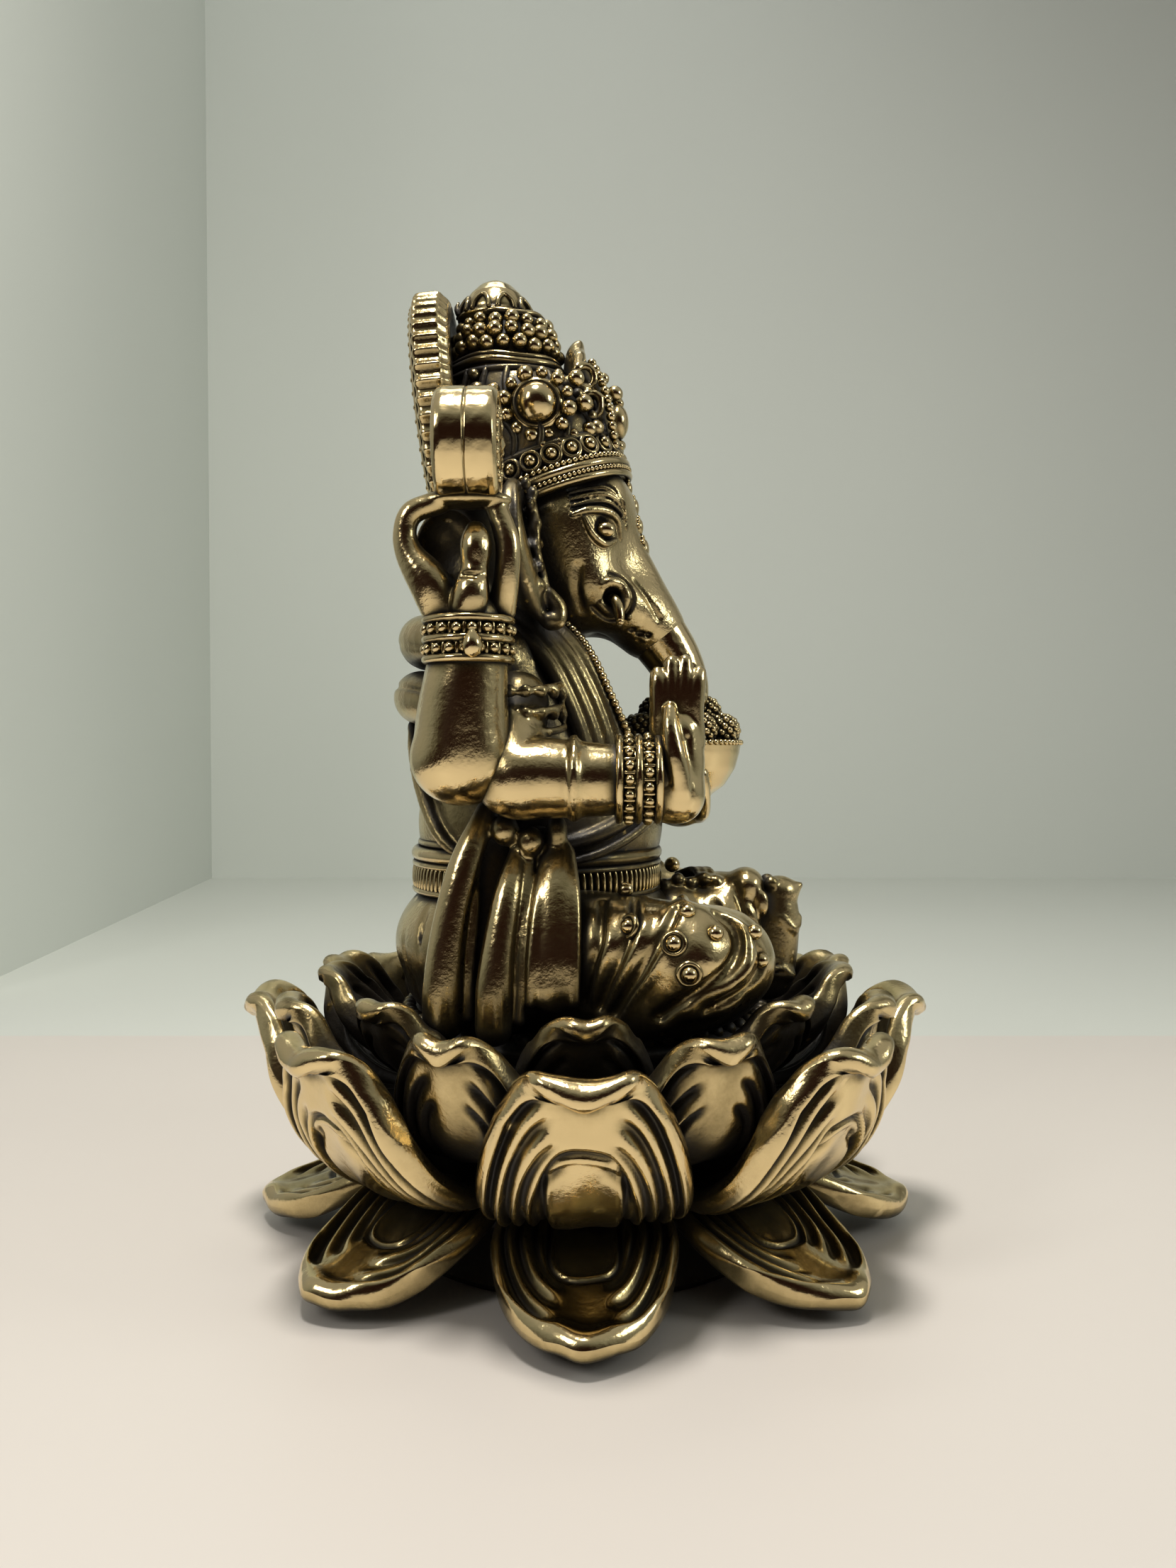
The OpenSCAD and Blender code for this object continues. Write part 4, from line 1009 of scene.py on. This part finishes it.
def head():
    half_width, cell = 11.5, 0.15
    clay = Clay((-half_width, -11, 58.5), (0.6, 11, 81), cell)
    clay.ball((0, 2.2, 72.6), (8.4, 6.8, 7.0), 1)
    clay.ball((0, 1.0, 68.0), (7.7, 5.6, 5.6), 2.5)
    clay.limb([(0, 3.6, 66.5, 4.2), (0, 5.2, 60.5, 4.0)], 2)
    clay.ball((-2.6, -2.0, 76.0), (3.4, 2.5, 3.0), 2)
    clay.limb([(-4.4, -0.4, 66.6, 3.0), (-3.4, -2.8, 65.4, 3.0), (-1.6, -5.4, 64.2, 2.8)], 1.4)
    clay.limb([(-3.0, 1.6, 65.4, 3.0), (-2.4, -2.4, 65.2, 2.9), (0, -5.8, 63.4, 3.0)], 1)
    clay.limb(TRUNK[:4], 1.8)
    on = clay.skin
    # Eye: socket, lids and eyeball.
    clay.ball(on([(-2.0, 72.2)])[0] + [0.1, 0, 0], (0.8, 1.5, 1.25), 0.4, cut=True)
    upper = [(1.3, 73.3), (-0.4, 73.9), (-2.2, 74.0), (-3.3, 73.3), (-3.6, 71.6)]
    clay.ridge(on(upper, 0.2), 0.40, 0.10)
    lower = [(0.1, 73.1), (-0.7, 71.6), (-1.9, 70.7), (-3.1, 71.3)]
    clay.ridge(on(lower, 0.2), 0.38, 0.10)
    clay.groove(on([(1.2, 74.0), (-0.5, 74.55), (-2.4, 74.65), (-3.9, 73.8)], 0.0), 0.26, 0.10)
    # Brow wrinkles.
    brow = np.array([(1.3, 74.3), (-0.7, 74.9), (-2.4, 75.0), (-3.9, 74.1), (-4.3, 72.9)])
    for k in range(3):
        clay.ridge(on(brow + [0.12 * k, 0.66 * k], 0.15), 0.32, 0.08)
        clay.groove(on(brow + [0.15 * k, 0.33 + 0.66 * k], 0.0), 0.22, 0.08)
    # Socket of the tusk: a raised ring, open in front, with a deep line round it.
    arc = np.radians([330, 280, 230, 180, 130, 85, 45])
    clay.ball(on([(-2.7, 65.5)])[0] + [0.3, 0, 0], (0.9, 0.95, 0.95), 0.3, cut=True)
    clay.ridge(on([(-2.7 + 1.45 * math.cos(a), 65.5 + 1.45 * math.sin(a)) for a in arc], 0.05), 0.5, 0.3)
    clay.groove(on([(-2.7 + 2.2 * math.cos(a), 65.5 + 2.2 * math.sin(a)) for a in arc[:-1]]), 0.26, 0.2)
    # Creases on the cheek and a rough patch where the mouth runs into the trunk.
    clay.groove(on([(-5.0, 67.4), (-6.4, 65.6), (-7.6, 63.6)], 0.1), 0.2, 0.5)
    clay.groove(on([(0.6, 68.2), (0.8, 66.0), (0.2, 64.0)], 0.1), 0.2, 0.8)
    for k in range(10):
        y, z = -4.0 - 0.42 * k, 63.6 - 0.36 * k + 0.5 * math.sin(2.4 * k)
        size = (0.3, 0.42 + 0.1 * math.sin(5 * k), 0.3)
        clay.ball(on([(y, z)])[0] + [0.1, 0, 0], size, 0.12, cut=k % 2 == 0)
    # Only the right half is shaped. The left half is its mirror image.
    whole = Clay((-half_width, -11, 58.5), (half_width, 11, 81), cell)
    whole.d[:clay.d.shape[0]] = clay.d
    middle = int(round(half_width / cell))
    whole.d[middle:2 * middle + 1] = whole.d[:middle + 1][::-1]
    whole.shell(0).piece("head_look", "head", GRAINY)


def trunk():
    clay = Clay((-6, -14.5, 49.5), (6.5, 0.5, 72), 0.18)
    clay.limb([(0, -3.6, 69.8, 2.5)] + [(x, y + 0.1, z, r) for x, y, z, r in TRUNK[2:]], 0.8, steps=40)
    centre = smooth(TRUNK[2:], 30)
    for k in range(2, 28, 2):
        x, y, z, r = centre[k]
        a = np.linspace(-0.9, 0.9, 9)
        band = [(x + r * math.sin(t), y - r * 0.86 * math.cos(t), z - r * 0.5 * math.cos(t)) for t in a]
        clay.groove(band, 0.1, 0.35)
    clay.limb([(2.4, -10.4, 52.6, 1.7), (3.2, -10.4, 52.2, 1.9)], 0.4)
    clay.ball((-2.4, -6.7, 66.3), 0.22, 0.1, cut=True)
    clay.shell().piece("trunk_look", "trunk", BRIGHT)


def ears():
    """A large thin ear that spreads out and back, with a rough rim and a curled lobe."""
    clay = Clay((-18.5, -1, 60.0), (-5, 12.5, 79.5), 0.18)
    clay.limb([(-7.6, 6.6, 74.6, 1.8), (-10.4, 7.2, 73.0, 3.2), (-11.2, 7.0, 69.6, 3.8),
               (-10.6, 5.8, 66.4, 2.9), (-9.2, 4.2, 64.0, 1.5)], 0.8, flat=((-0.2, 1, 0.08), 0.26))
    rim = [(-7.8, 6.6, 76.0), (-11.0, 7.2, 75.6), (-13.4, 7.5, 73.0), (-14.0, 7.2, 69.4), (-12.6, 6.0, 66.0),
           (-11.0, 4.7, 63.6), (-10.0, 3.4, 62.3)]
    clay.limb([(*p, 0.62) for p in rim], 0.4, steps=40)
    clay.limb([(-10.6, 3.6, 62.6, 0.8), (-10.2, 2.7, 62.7, 0.9), (-10.0, 2.7, 64.0, 0.9),
               (-10.4, 3.5, 65.2, 0.7)], 0.25)
    clay.ridge([(-9.4, 5.4, 75.6), (-10.0, 5.0, 72.6), (-10.4, 4.9, 69.6), (-10.2, 4.2, 66.8),
                (-10.0, 3.6, 64.8)], 0.62, 0.3)
    for k in range(22):
        z = 76.4 - 0.62 * k
        at = (-10.4 - 0.9 * math.sin(2.3 * k), 4.6 + 0.05 * (z - 64) + 0.5 * math.sin(1.7 * k), z)
        size = 0.62 + 0.22 * math.sin(3.1 * k)
        clay.ball(at, (size, size * 0.8, size * 1.1), 0.12, cut=k % 3 == 0)
    pair(clay.shell(), "ear_look", "ear", AGED)


def tusks_and_eyes():
    peg = smooth([(-5.6, -2.6, 65.6, 0.5), (-6.6, -3.1, 65.0, 0.55), (-7.0, -3.4, 63.9, 0.55),
                  (-7.2, -3.5, 62.9, 0.42)], 16) + [*LIFTED, 0]
    tusk = sweep(peg[:, :3], peg[:, 3], 16).join(balls([peg[-1, :3]], 0.42))
    both_sides(tusk).piece("tusk_pair", "tusks", BRIGHT)
    eye = balls([(-7.05, -2.05, 72.1 + LIFT)], 0.95, 3, [np.diag([0.7, 1.0, 0.8])])
    both_sides(eye).piece("eye_pair", "eyes", BRIGHT)


def forehead_ornament():
    """Jewels in rings of beads, on a cord down the middle of the forehead."""
    strip = Shell()
    line = smooth([(0, -4.6, 77.6), (0, -5.2, 75.6), (0, -5.7, 73.6), (0, -6.2, 71.2)], 4) + LIFTED
    for jewel, r in zip(line, (0.75, 0.95, 0.85, 1.1)):
        strip.join(balls([jewel], r, 3, [np.diag([1.1, 0.55, 1.1])]))
        strip.join(balls(facing_ring(jewel + [0, 0.15, 0], (0, 1, 0), 1.25 * r, 12), 0.28, 2))
    strip.join(sweep(line + [0, 0.3, 0], 0.5, 10))
    strip.piece("forehead_strip", "forehead_ornament")


# ---------------------------------------------------------------- crown

CROWN_TILT = -20.0
CROWN_FOOT = (0, 3.3, 76.0)
CROWN_R = np.ptp(box_mm("crown_band"), axis=0)[0] / 2
CROWN_TOP = (0, 8.3, 88.9)


def round_beads(r, z, size, count):
    return balls(circle(r, z, count), size, 2)


def crown_band():
    """The head band: a toothed edge, ropes and fine beads, with a row of rosettes above."""
    r = CROWN_R - 0.1
    profile = [(r - 3, -0.3), (r - 0.6, -0.3), (r - 0.35, 0.2), (r - 0.35, 1.9), (r - 0.8, 2.3),
               (r - 0.8, 4.4), (r - 3, 4.6)]
    shell = lathe(densify(profile), 120)
    shell.join(sweep(circle(r - 0.15, 0.0, 240), 0.36, 14, closed=True))
    shell.join(round_beads(r + 0.05, 0.55, 0.27, 104))
    shell.join(sweep(circle(r - 0.05, 1.15, 240), 0.42, 14, closed=True))
    shell.join(round_beads(r - 0.05, 1.85, 0.33, 84))
    for centre in circle(r - 0.25, 3.15, 24, 0.5):
        out = centre * [1, 1, 0] / (r - 0.25) + [0, 0, 0.15]
        shell.join(rosette(centre, out, 0.95))
    shell.moved(placed(CROWN_FOOT, (CROWN_TILT, 0, 0))).piece("crown_band_look", "crown_band")


def rosette(centre, out, r):
    """A bead in a raised ring."""
    out = unit(np.asarray(out, float))
    shell = sweep(facing_ring(centre, out, r, 24, up=(0.02, 0.01, 1)), r * 0.26, 8, closed=True)
    return shell.join(balls([centre + out * 0.15], r * 0.62))


def crown_axis(t):
    """Middle of the crown body from its band (0) to its upper tiers (1), its radius and its tilt."""
    lean = math.radians(-CROWN_TILT)
    foot = np.array(CROWN_FOOT) + 3.9 * np.array([0, math.sin(lean), math.cos(lean)])
    bend = np.array(CROWN_TOP) + [0, -2.2, -4.4]
    centre = (1 - t)**2 * foot + 2 * t * (1 - t) * bend + t**2 * np.array(CROWN_TOP)
    r = CROWN_R - 0.6 - 2.1 * t**2.4
    return centre, r, math.degrees(lean) * (1 - t) ** 0.8


def crown_spot(t, angle, lift=0.0):
    """A place on the crown body's skin. angle 0 is its right side and 90 its front."""
    centre, r, tilt = crown_axis(t)
    a = math.radians(angle)
    flat = np.array([-(r + lift) * math.cos(a), -(r + lift) * math.sin(a), 0])
    return centre + turned((-tilt, 0, 0)) @ flat + LIFTED


def crown_body():
    rows, steps = 30, 120
    points = [crown_spot(t, k * 360 / steps) for t in np.linspace(0, 1, rows) for k in range(steps)]
    shell = Shell().add(points, grid_faces(rows, steps))
    # Scrolls and strings of beads that run up the body between the cabochons.
    for side in range(0, 360, 20):
        scroll = [crown_spot(t, side + 7 * math.sin(t * 7)) for t in np.linspace(0.03, 0.97, 18)]
        shell.join(sweep(scroll, 0.36, 8))
        if side % 40 == 0 and side % 180:
            string = [crown_spot(t, side + 10, 0.2) for t in np.linspace(0.1, 0.9, 6)]
            shell.join(balls(string, [0.85, 0.62, 0.9, 0.62, 0.85, 0.62]))
    for t in (0.03, 0.95):
        loop = [crown_spot(t, a) for a in np.arange(0, 360, 3)]
        shell.join(sweep(loop, 0.36, 8, closed=True))
    shell.piece("crown_body_look", "crown_body", AGED)


def crown_cabochons():
    """A large jewel on each side of the crown, in a ring of beads, with single beads farther out."""
    foot = (-CROWN_R + 0.7, 4.8, 84.4)
    centre = foot + LIFTED
    right = lathe([(0.01, -1.5), (2.6, -1.5), (2.8, -0.6), (2.5, 0.1), (0.01, 0.3)], 48)
    right = right.moved(placed(foot, (0, -90, 0)))
    right.join(balls([centre + [-0.2, 0, 0]], 2.0, 4, [np.diag([0.85, 1, 1])]))
    sizes = (0.78, 0.6, 0.84, 0.62, 0.72, 0.58, 0.8, 0.66, 0.6, 0.82, 0.64, 0.7)
    a = around(len(sizes), 0.3)
    spots = np.stack([0.45 * np.abs(np.sin(a)) - 0.1, 3.25 * np.cos(a), 3.15 * np.sin(a)], -1)
    right.join(balls(centre + spots, sizes))
    a = around(60)
    loop = centre + np.stack([0 * a - 0.05, 2.2 * np.cos(a), 2.2 * np.sin(a)], -1)
    right.join(sweep(loop, 0.24, 8, closed=True))
    for y, z, size in ((0.9, 87.2, 0.85), (0.1, 84.9, 0.9), (-0.4, 82.4, 0.8), (9.2, 86.0, 0.8),
                       (9.4, 83.2, 0.85), (2.6, 80.6, 0.6), (4.2, 80.2, 0.6), (1.2, 81.6, 0.6)):
        x = -math.sqrt(7.9**2 - (y - 5.0)**2)
        right.join(balls([(x, y, z + LIFT)], size))
    both_sides(right).piece("cabochon_pair", "crown_cabochons")


def crown_crest():
    """The front plaque: a pointed leaf with a boss, scrolls on each side and beads down its edge."""
    clay = Clay((-7.5, -7, 77), (7.5, 5, 94), 0.17)
    clay.limb([(0, -1.8, 80.0, 3.2), (0, -0.8, 84.4, 3.9), (0, 0.3, 87.6, 3.4), (0, 0.9, 90.0, 2.3),
               (0, 0.8, 91.4, 1.6), (0, 0.5, 92.6, 0.7)], 0.6, flat=((0, 1, -0.2), 0.55))
    for side in (-1, 1):
        # An S of two curls, one above the other, and the leaf that ends it.
        top = [(side * (3.9 + 0.25 * math.cos(a)), 0.1 + 1.05 * math.cos(a), 88.2 + 1.15 * math.sin(a), 0.40)
               for a in np.linspace(-2.0, 3.6, 12)]
        low = [(side * (4.6 - 0.2 * math.cos(a)), -0.6 - math.cos(a), 85.2 + 1.25 * math.sin(a), 0.42)
               for a in np.linspace(1.8, 7.4, 12)]
        clay.limb(top, 0.15, steps=40)
        clay.limb(low, 0.15, steps=40)
        clay.limb([(side * 4.4, -1.6, 86.0, 0.4), (side * 3.9, -0.2, 86.8, 0.45),
                   (side * 3.7, 0.9, 87.6, 0.4)], 0.15)
        clay.limb([(side * 4.2, 0.8, 89.0, 0.5), (side * 2.6, 0.6, 90.6, 0.7),
                   (side * 0.8, 0.6, 91.6, 0.5)], 0.3)
    clay.ball((0, -3.4, 84.6), (1.7, 1.2, 1.9), 0.3)
    shell = clay.shell()
    for y, z, r in ((-3.9, 79.6, 0.95), (-3.1, 87.6, 0.9), (-3.7, 82.2, 0.6), (-3.5, 86.6, 0.6),
                    (-1.9, 89.2, 0.65)):
        shell.join(balls([(0, y, z + LIFT)], r))
    for side in (-1, 1):
        edge = smooth([(side * 3.2, -3.2, 80.6), (side * 4.0, -2.8, 83.0), (side * 3.6, -2.4, 85.6),
                       (side * 2.6, -1.7, 88.2), (side * 1.4, -0.7, 90.4)], 12) + LIFTED
        shell.join(balls(edge, 0.5, 2))
        shell.join(rosette(np.array([side * 2.9, -3.5, 80.0 + LIFT]), (side * 0.6, -1, 0), 0.9))
    shell.piece("crown_crest_look", "crown_crest")


def crown_tiers():
    """The ring and the heaped bead rows under the finial."""
    neck = [(5.4, -1.4), (6.0, 0.0), (5.5, 1.0), (4.9, 1.4), (4.7, 2.8), (4.3, 4.0), (3.8, 5.6), (3.2, 6.4)]
    shell = lathe(densify(neck))
    wave = 0.12 * np.sin(5 * around(160))
    for r, z, thick in ((6.05, 0.45, 0.40), (5.75, 1.15, 0.26), (4.0, 6.05, 0.3)):
        shell.join(sweep(circle(r, z + wave, 160), thick, closed=True))
    for r, z, size, count in ((5.3, 2.5, 0.80, 20), (5.0, 3.9, 0.80, 19), (4.5, 5.1, 0.74, 17)):
        k = np.arange(count)
        spots = circle(r + 0.1 * np.sin(3 * k), z + 0.16 * np.sin(2.3 * k + z), count)
        shell.join(balls(spots, size * (1 + 0.09 * np.sin(1.7 * k))))
    shell.moved(placed(CROWN_TOP)).piece("crown_tiers", "crown_beads")


def crown_finial():
    """A low dome of pointed leaves, one of them turned up at the back."""
    y, foot = 9.4, 95.0
    h = box_mm("crown_finial")[1][2] - LIFT - foot
    dome = [(0.01, -0.4), (3.7, -0.4), (4.0, 0.0), (4.05, 0.25), (3.8, 0.5), (3.6, 0.62), (3.6, 1.0),
            (3.35, 0.40 * h), (2.75, 0.64 * h), (1.8, 0.86 * h), (0.9, 0.975 * h), (0.01, h)]
    shell = lathe(densify(dome, 0.15), 72).moved(placed((0, y, foot)))
    leaf = smooth([(3.85, -0.95, 0.3, 0.26), (3.6, -0.75, 1.3, 0.26), (3.2, 0, 2.0, 0.28),
                   (3.6, 0.75, 1.3, 0.26), (3.85, 0.95, 0.3, 0.26)], 14)
    for k in range(9):
        shell.join(sweep(leaf[:, :3], leaf[:, 3], 8), placed((0, y, foot), (0, 0, k * 40)))
    spike = smooth([(0, 12.4, 95.6, 0.7), (0, 13.2, 96.0, 0.5), (0, 13.5, 96.6, 0.3),
                    (0, 13.3, 97.2, 0.1)], 8)
    shell.join(sweep(spike[:, :3] + LIFTED, spike[:, 3], 8))
    shell.piece("crown_finial_look", "crown_finial")


def halo():
    """A thick disc with a ribbed rim, a lotus in relief on its back and a ring of beads."""
    low, high = box_mm("halo_disc")
    r = (high[0] - low[0]) / 2
    ribs, petals, back, front = 51, 16, 1.7, -1.1

    def scallop(angle, index):
        crest = np.abs(np.cos(angle * ribs / 2))
        return 1 - 0.020 * (1 - crest**6) - 0.012 * (1 - crest)

    rim = [(r - 1.6, front - 0.7), (r - 1.0, front - 0.75), (r - 0.75, front - 0.6), (r - 0.2, front),
           (r + 0.05, front + 0.1), (r + 0.12, front + 0.5), (r + 0.12, back - 0.5), (r + 0.02, back - 0.15),
           (r - 0.7, back + 0.1)]
    face = [(0.01, front - 0.3), (r - 3.2, front - 0.3), (r - 2.8, front - 0.75), (r - 1.5, front - 0.72)]
    rear = [(r - 0.75, back + 0.08), (r - 1.2, back + 0.40), (r - 1.9, back + 0.05), (r * 0.46, back - 0.2),
            (r * 0.42, back + 0.35), (r * 0.32, back + 0.35), (r * 0.28, back), (0.01, back + 0.5)]
    shell = lathe(densify(rim, 0.2), ribs * 16, scallop)
    shell.join(lathe(densify(face), 160)).join(lathe(densify(rear), 160))
    leaves = [turned((0, 0, k * 360 / petals)) @ np.diag([2.6, 1.45, 0.7]) for k in range(petals)]
    shell.join(balls(circle(r * 0.66, back - 0.1, petals), 1.0, 3, leaves))
    shell.join(round_beads(r * 0.9, back + 0.1, 0.36, 56))
    shell.moved(placed((0, 14.5, 84.4), (-96, 0, 0))).piece("halo_look", "halo_disc")


def attendant():
    """A small mouse sitting up against the feet, its nose in the air."""
    clay = Clay((-4.5, -25, 22.5), (4.5, -14, 39), 0.16)
    clay.limb([(0, -19.6, 26.2, 2.7), (0, -20.1, 29.4, 2.6), (0, -20.4, 32.4, 2.4),
               (0, -20.4, 34.6, 2.0)], 0.8)
    clay.limb([(0, -18.2, 26.2, 2.4), (0, -18.2, 31.6, 2.2), (0, -18.6, 34.0, 1.6)], 1)
    clay.ball((0, -20.9, 35.0), (1.8, 1.8, 1.6), 0.5)
    clay.limb([(0, -21.6, 35.0, 1.0), (0, -22.9, 35.7, 0.35)], 0.5)
    for side in (-1, 1):
        clay.ball((side * 1.4, -19.6, 36.0), (0.7, 0.8, 0.8), 0.3)
        clay.limb([(side * 1.8, -20.4, 32.4, 0.7), (side * 1.6, -22.0, 31.2, 0.6),
                   (side * 0.6, -22.6, 32.2, 0.5)], 0.3)
        clay.limb([(side * 1.9, -19.6, 27.2, 1.3), (side * 1.8, -21.4, 26.4, 0.8)], 0.4)
    for k in range(12):
        z = 26.6 + 0.75 * k
        clay.groove([(-2.9, -22.6, z - 0.5), (-2.8, -20.4, z + 0.3), (-2.7, -17.8, z - 0.3)], 0.16, 0.14)
        clay.groove([(-1.9, -22.4, z), (0, -23.4, z + 0.4), (1.9, -22.4, z)], 0.16, 0.14)
    clay.groove([(-2.6, -18.8, 36.0), (-3.0, -18.8, 31), (-3.0, -18.7, 27)], 0.35, 0.25)
    clay.shell().piece("mouse", "attendant", AGED)


# ---------------------------------------------------------------- scene

def core_look():
    """The core shows only between the petals, so it keeps its own shape."""
    core = frame["nodes"]["base_core"]
    core.data.materials.clear()
    core.data.materials.append(AGED)


def sheet(name, corners, material):
    mesh = bpy.data.meshes.new(name)
    mesh.from_pydata(corners, [], [(0, 1, 2, 3)])
    mesh.materials.append(material)
    made = bpy.data.objects.new(name, mesh)
    bpy.context.scene.collection.objects.link(made)


# How far behind the figure, as it is seen, the back wall stands, in metres.
BACK_WALL = 0.353


def backdrop():
    """A shelf in a cabinet: its front painted cream as a pool of lamp light, its back painted grey-green as
    shade, a side wall and a back wall.
    """
    # Painted light and shade: the cream front stands for a pool of lamp light and the grey-green back for the
    # shade behind it.
    cream = plain_wall("shelf_front", (0.70, 0.65, 0.60), 0.42)
    shaded = plain_wall("shelf_back", (0.66, 0.68, 0.63), 0.5)
    grey = plain_wall("cabinet_wall", (0.74, 0.77, 0.72), 0.7)
    near, lit_to, back, side, right, high = -0.9, 0.083, BACK_WALL, 0.150, -0.60, 0.8
    sheet("shelf_front", [(near, right, 0), (lit_to, right, 0), (lit_to, side, 0), (near, side, 0)], cream)
    sheet("shelf_back", [(lit_to, right, 0), (back, right, 0), (back, side, 0), (lit_to, side, 0)], shaded)
    sheet("back_wall", [(back, side, 0), (back, right, 0), (back, right, high), (back, side, high)], grey)
    # The side wall starts behind the figure, so that it hides nothing from another side.
    x, y = 0.11, side - 0.022
    sheet("side_wall", [(x, y, 0), (back, side, 0), (back, side, high), (x, y, high)], grey)


def area_light(name, at, target, size, power, colour):
    data = bpy.data.lights.new(name, "AREA")
    data.shape = "RECTANGLE"
    data.size, data.size_y = size
    data.energy = power
    data.color = colour
    made = bpy.data.objects.new(name, data)
    bpy.context.scene.collection.objects.link(made)
    made.location = at
    made.rotation_euler = (Vector(target) - Vector(at)).to_track_quat("-Z", "Y").to_euler()


def lights():
    world = bpy.data.worlds.new("room")
    world.use_nodes = True
    bpy.context.scene.world = world
    tree = world.node_tree
    ground = tree.nodes["Background"]
    way = node(tree, "ShaderNodeTexCoord").outputs["Generated"]
    parts = node(tree, "ShaderNodeSeparateXYZ")
    tree.links.new(way, parts.inputs[0])
    # The room is bright overhead and on both sides, and dim and reddish where the photographer stood.
    sideways = maths(tree, "POWER", maths(tree, "ABSOLUTE", parts.outputs["Y"]), 2.0)
    sideways = maths(tree, "MULTIPLY", sideways, 0.50)
    height = maths(tree, "SUBTRACT", parts.outputs["Z"], 0.12)
    towards = maths(tree, "MULTIPLY", maths(tree, "ADD", parts.outputs["X"], 0.35), 0.50)
    both = maths(tree, "ADD", maths(tree, "ADD", height, towards), sideways, clamp=True)
    tree.links.new(
        ramp(tree, both, [(0.0, (0.040, 0.014, 0.010)), (0.16, (0.055, 0.030, 0.020)),
                          (0.30, (0.26, 0.25, 0.20)), (0.6, (0.70, 0.74, 0.68)), (1.0, (1.0, 1.0, 0.94))]),
        ground.inputs["Color"])
    ground.inputs["Strength"].default_value = 0.34
    area_light("ceiling_lamp", (-0.06, 0.02, 0.34), (0, 0, 0.04), (0.05, 0.08), 0.92, (1.0, 0.965, 0.91))
    area_light("left_lamp", (-0.20, 0.20, 0.24), (0, 0, 0.05), (0.06, 0.12), 0.20, (1.0, 0.97, 0.92))
    area_light("right_lamp", (-0.10, -0.34, 0.20), (0, 0, 0.05), (0.10, 0.12), 0.20, (0.96, 1.0, 0.95))
    area_light("wall_lamp", (0.20, 0.04, 0.55), (BACK_WALL, 0.06, 0.15), (0.25, 0.12), 0.26,
               (0.98, 1.0, 0.985))


def camera():
    """The figure is seen from its right side, close up, from half its height."""
    height = cad_bounds[1][2] - cad_bounds[0][2]
    distance, eye_height, drift, pitch_down = 0.1285, 0.5005 * height, -0.0003, 1.446
    data = bpy.data.cameras.new("camera")
    data.sensor_fit = "VERTICAL"
    data.sensor_height = 36
    data.lens = 27.73
    data.clip_start = 0.005
    made = bpy.data.objects.new("camera", data)
    bpy.context.scene.collection.objects.link(made)
    made.location = (-distance, drift, eye_height)
    made.rotation_euler = (math.radians(90 - pitch_down), 0, math.radians(-90))
    bpy.context.scene.camera = made


for make in (camera, floor_petals, outer_petals, middle_petals, inner_petals, deck, core_look, hips,
             torso, belt, legs_and_studs, feet, sashes, shawl, garland, rear_arms, right_front_arm,
             left_front_arm, rear_hands, front_hands, bracelets, hand_discs, bowl_and_sweets, head, trunk,
             ears, tusks_and_eyes, forehead_ornament, crown_band, crown_body, crown_cabochons,
             crown_crest, crown_tiers, crown_finial, halo, attendant, backdrop, lights):
    make()
bpy.context.scene.view_settings.view_transform = "Standard"
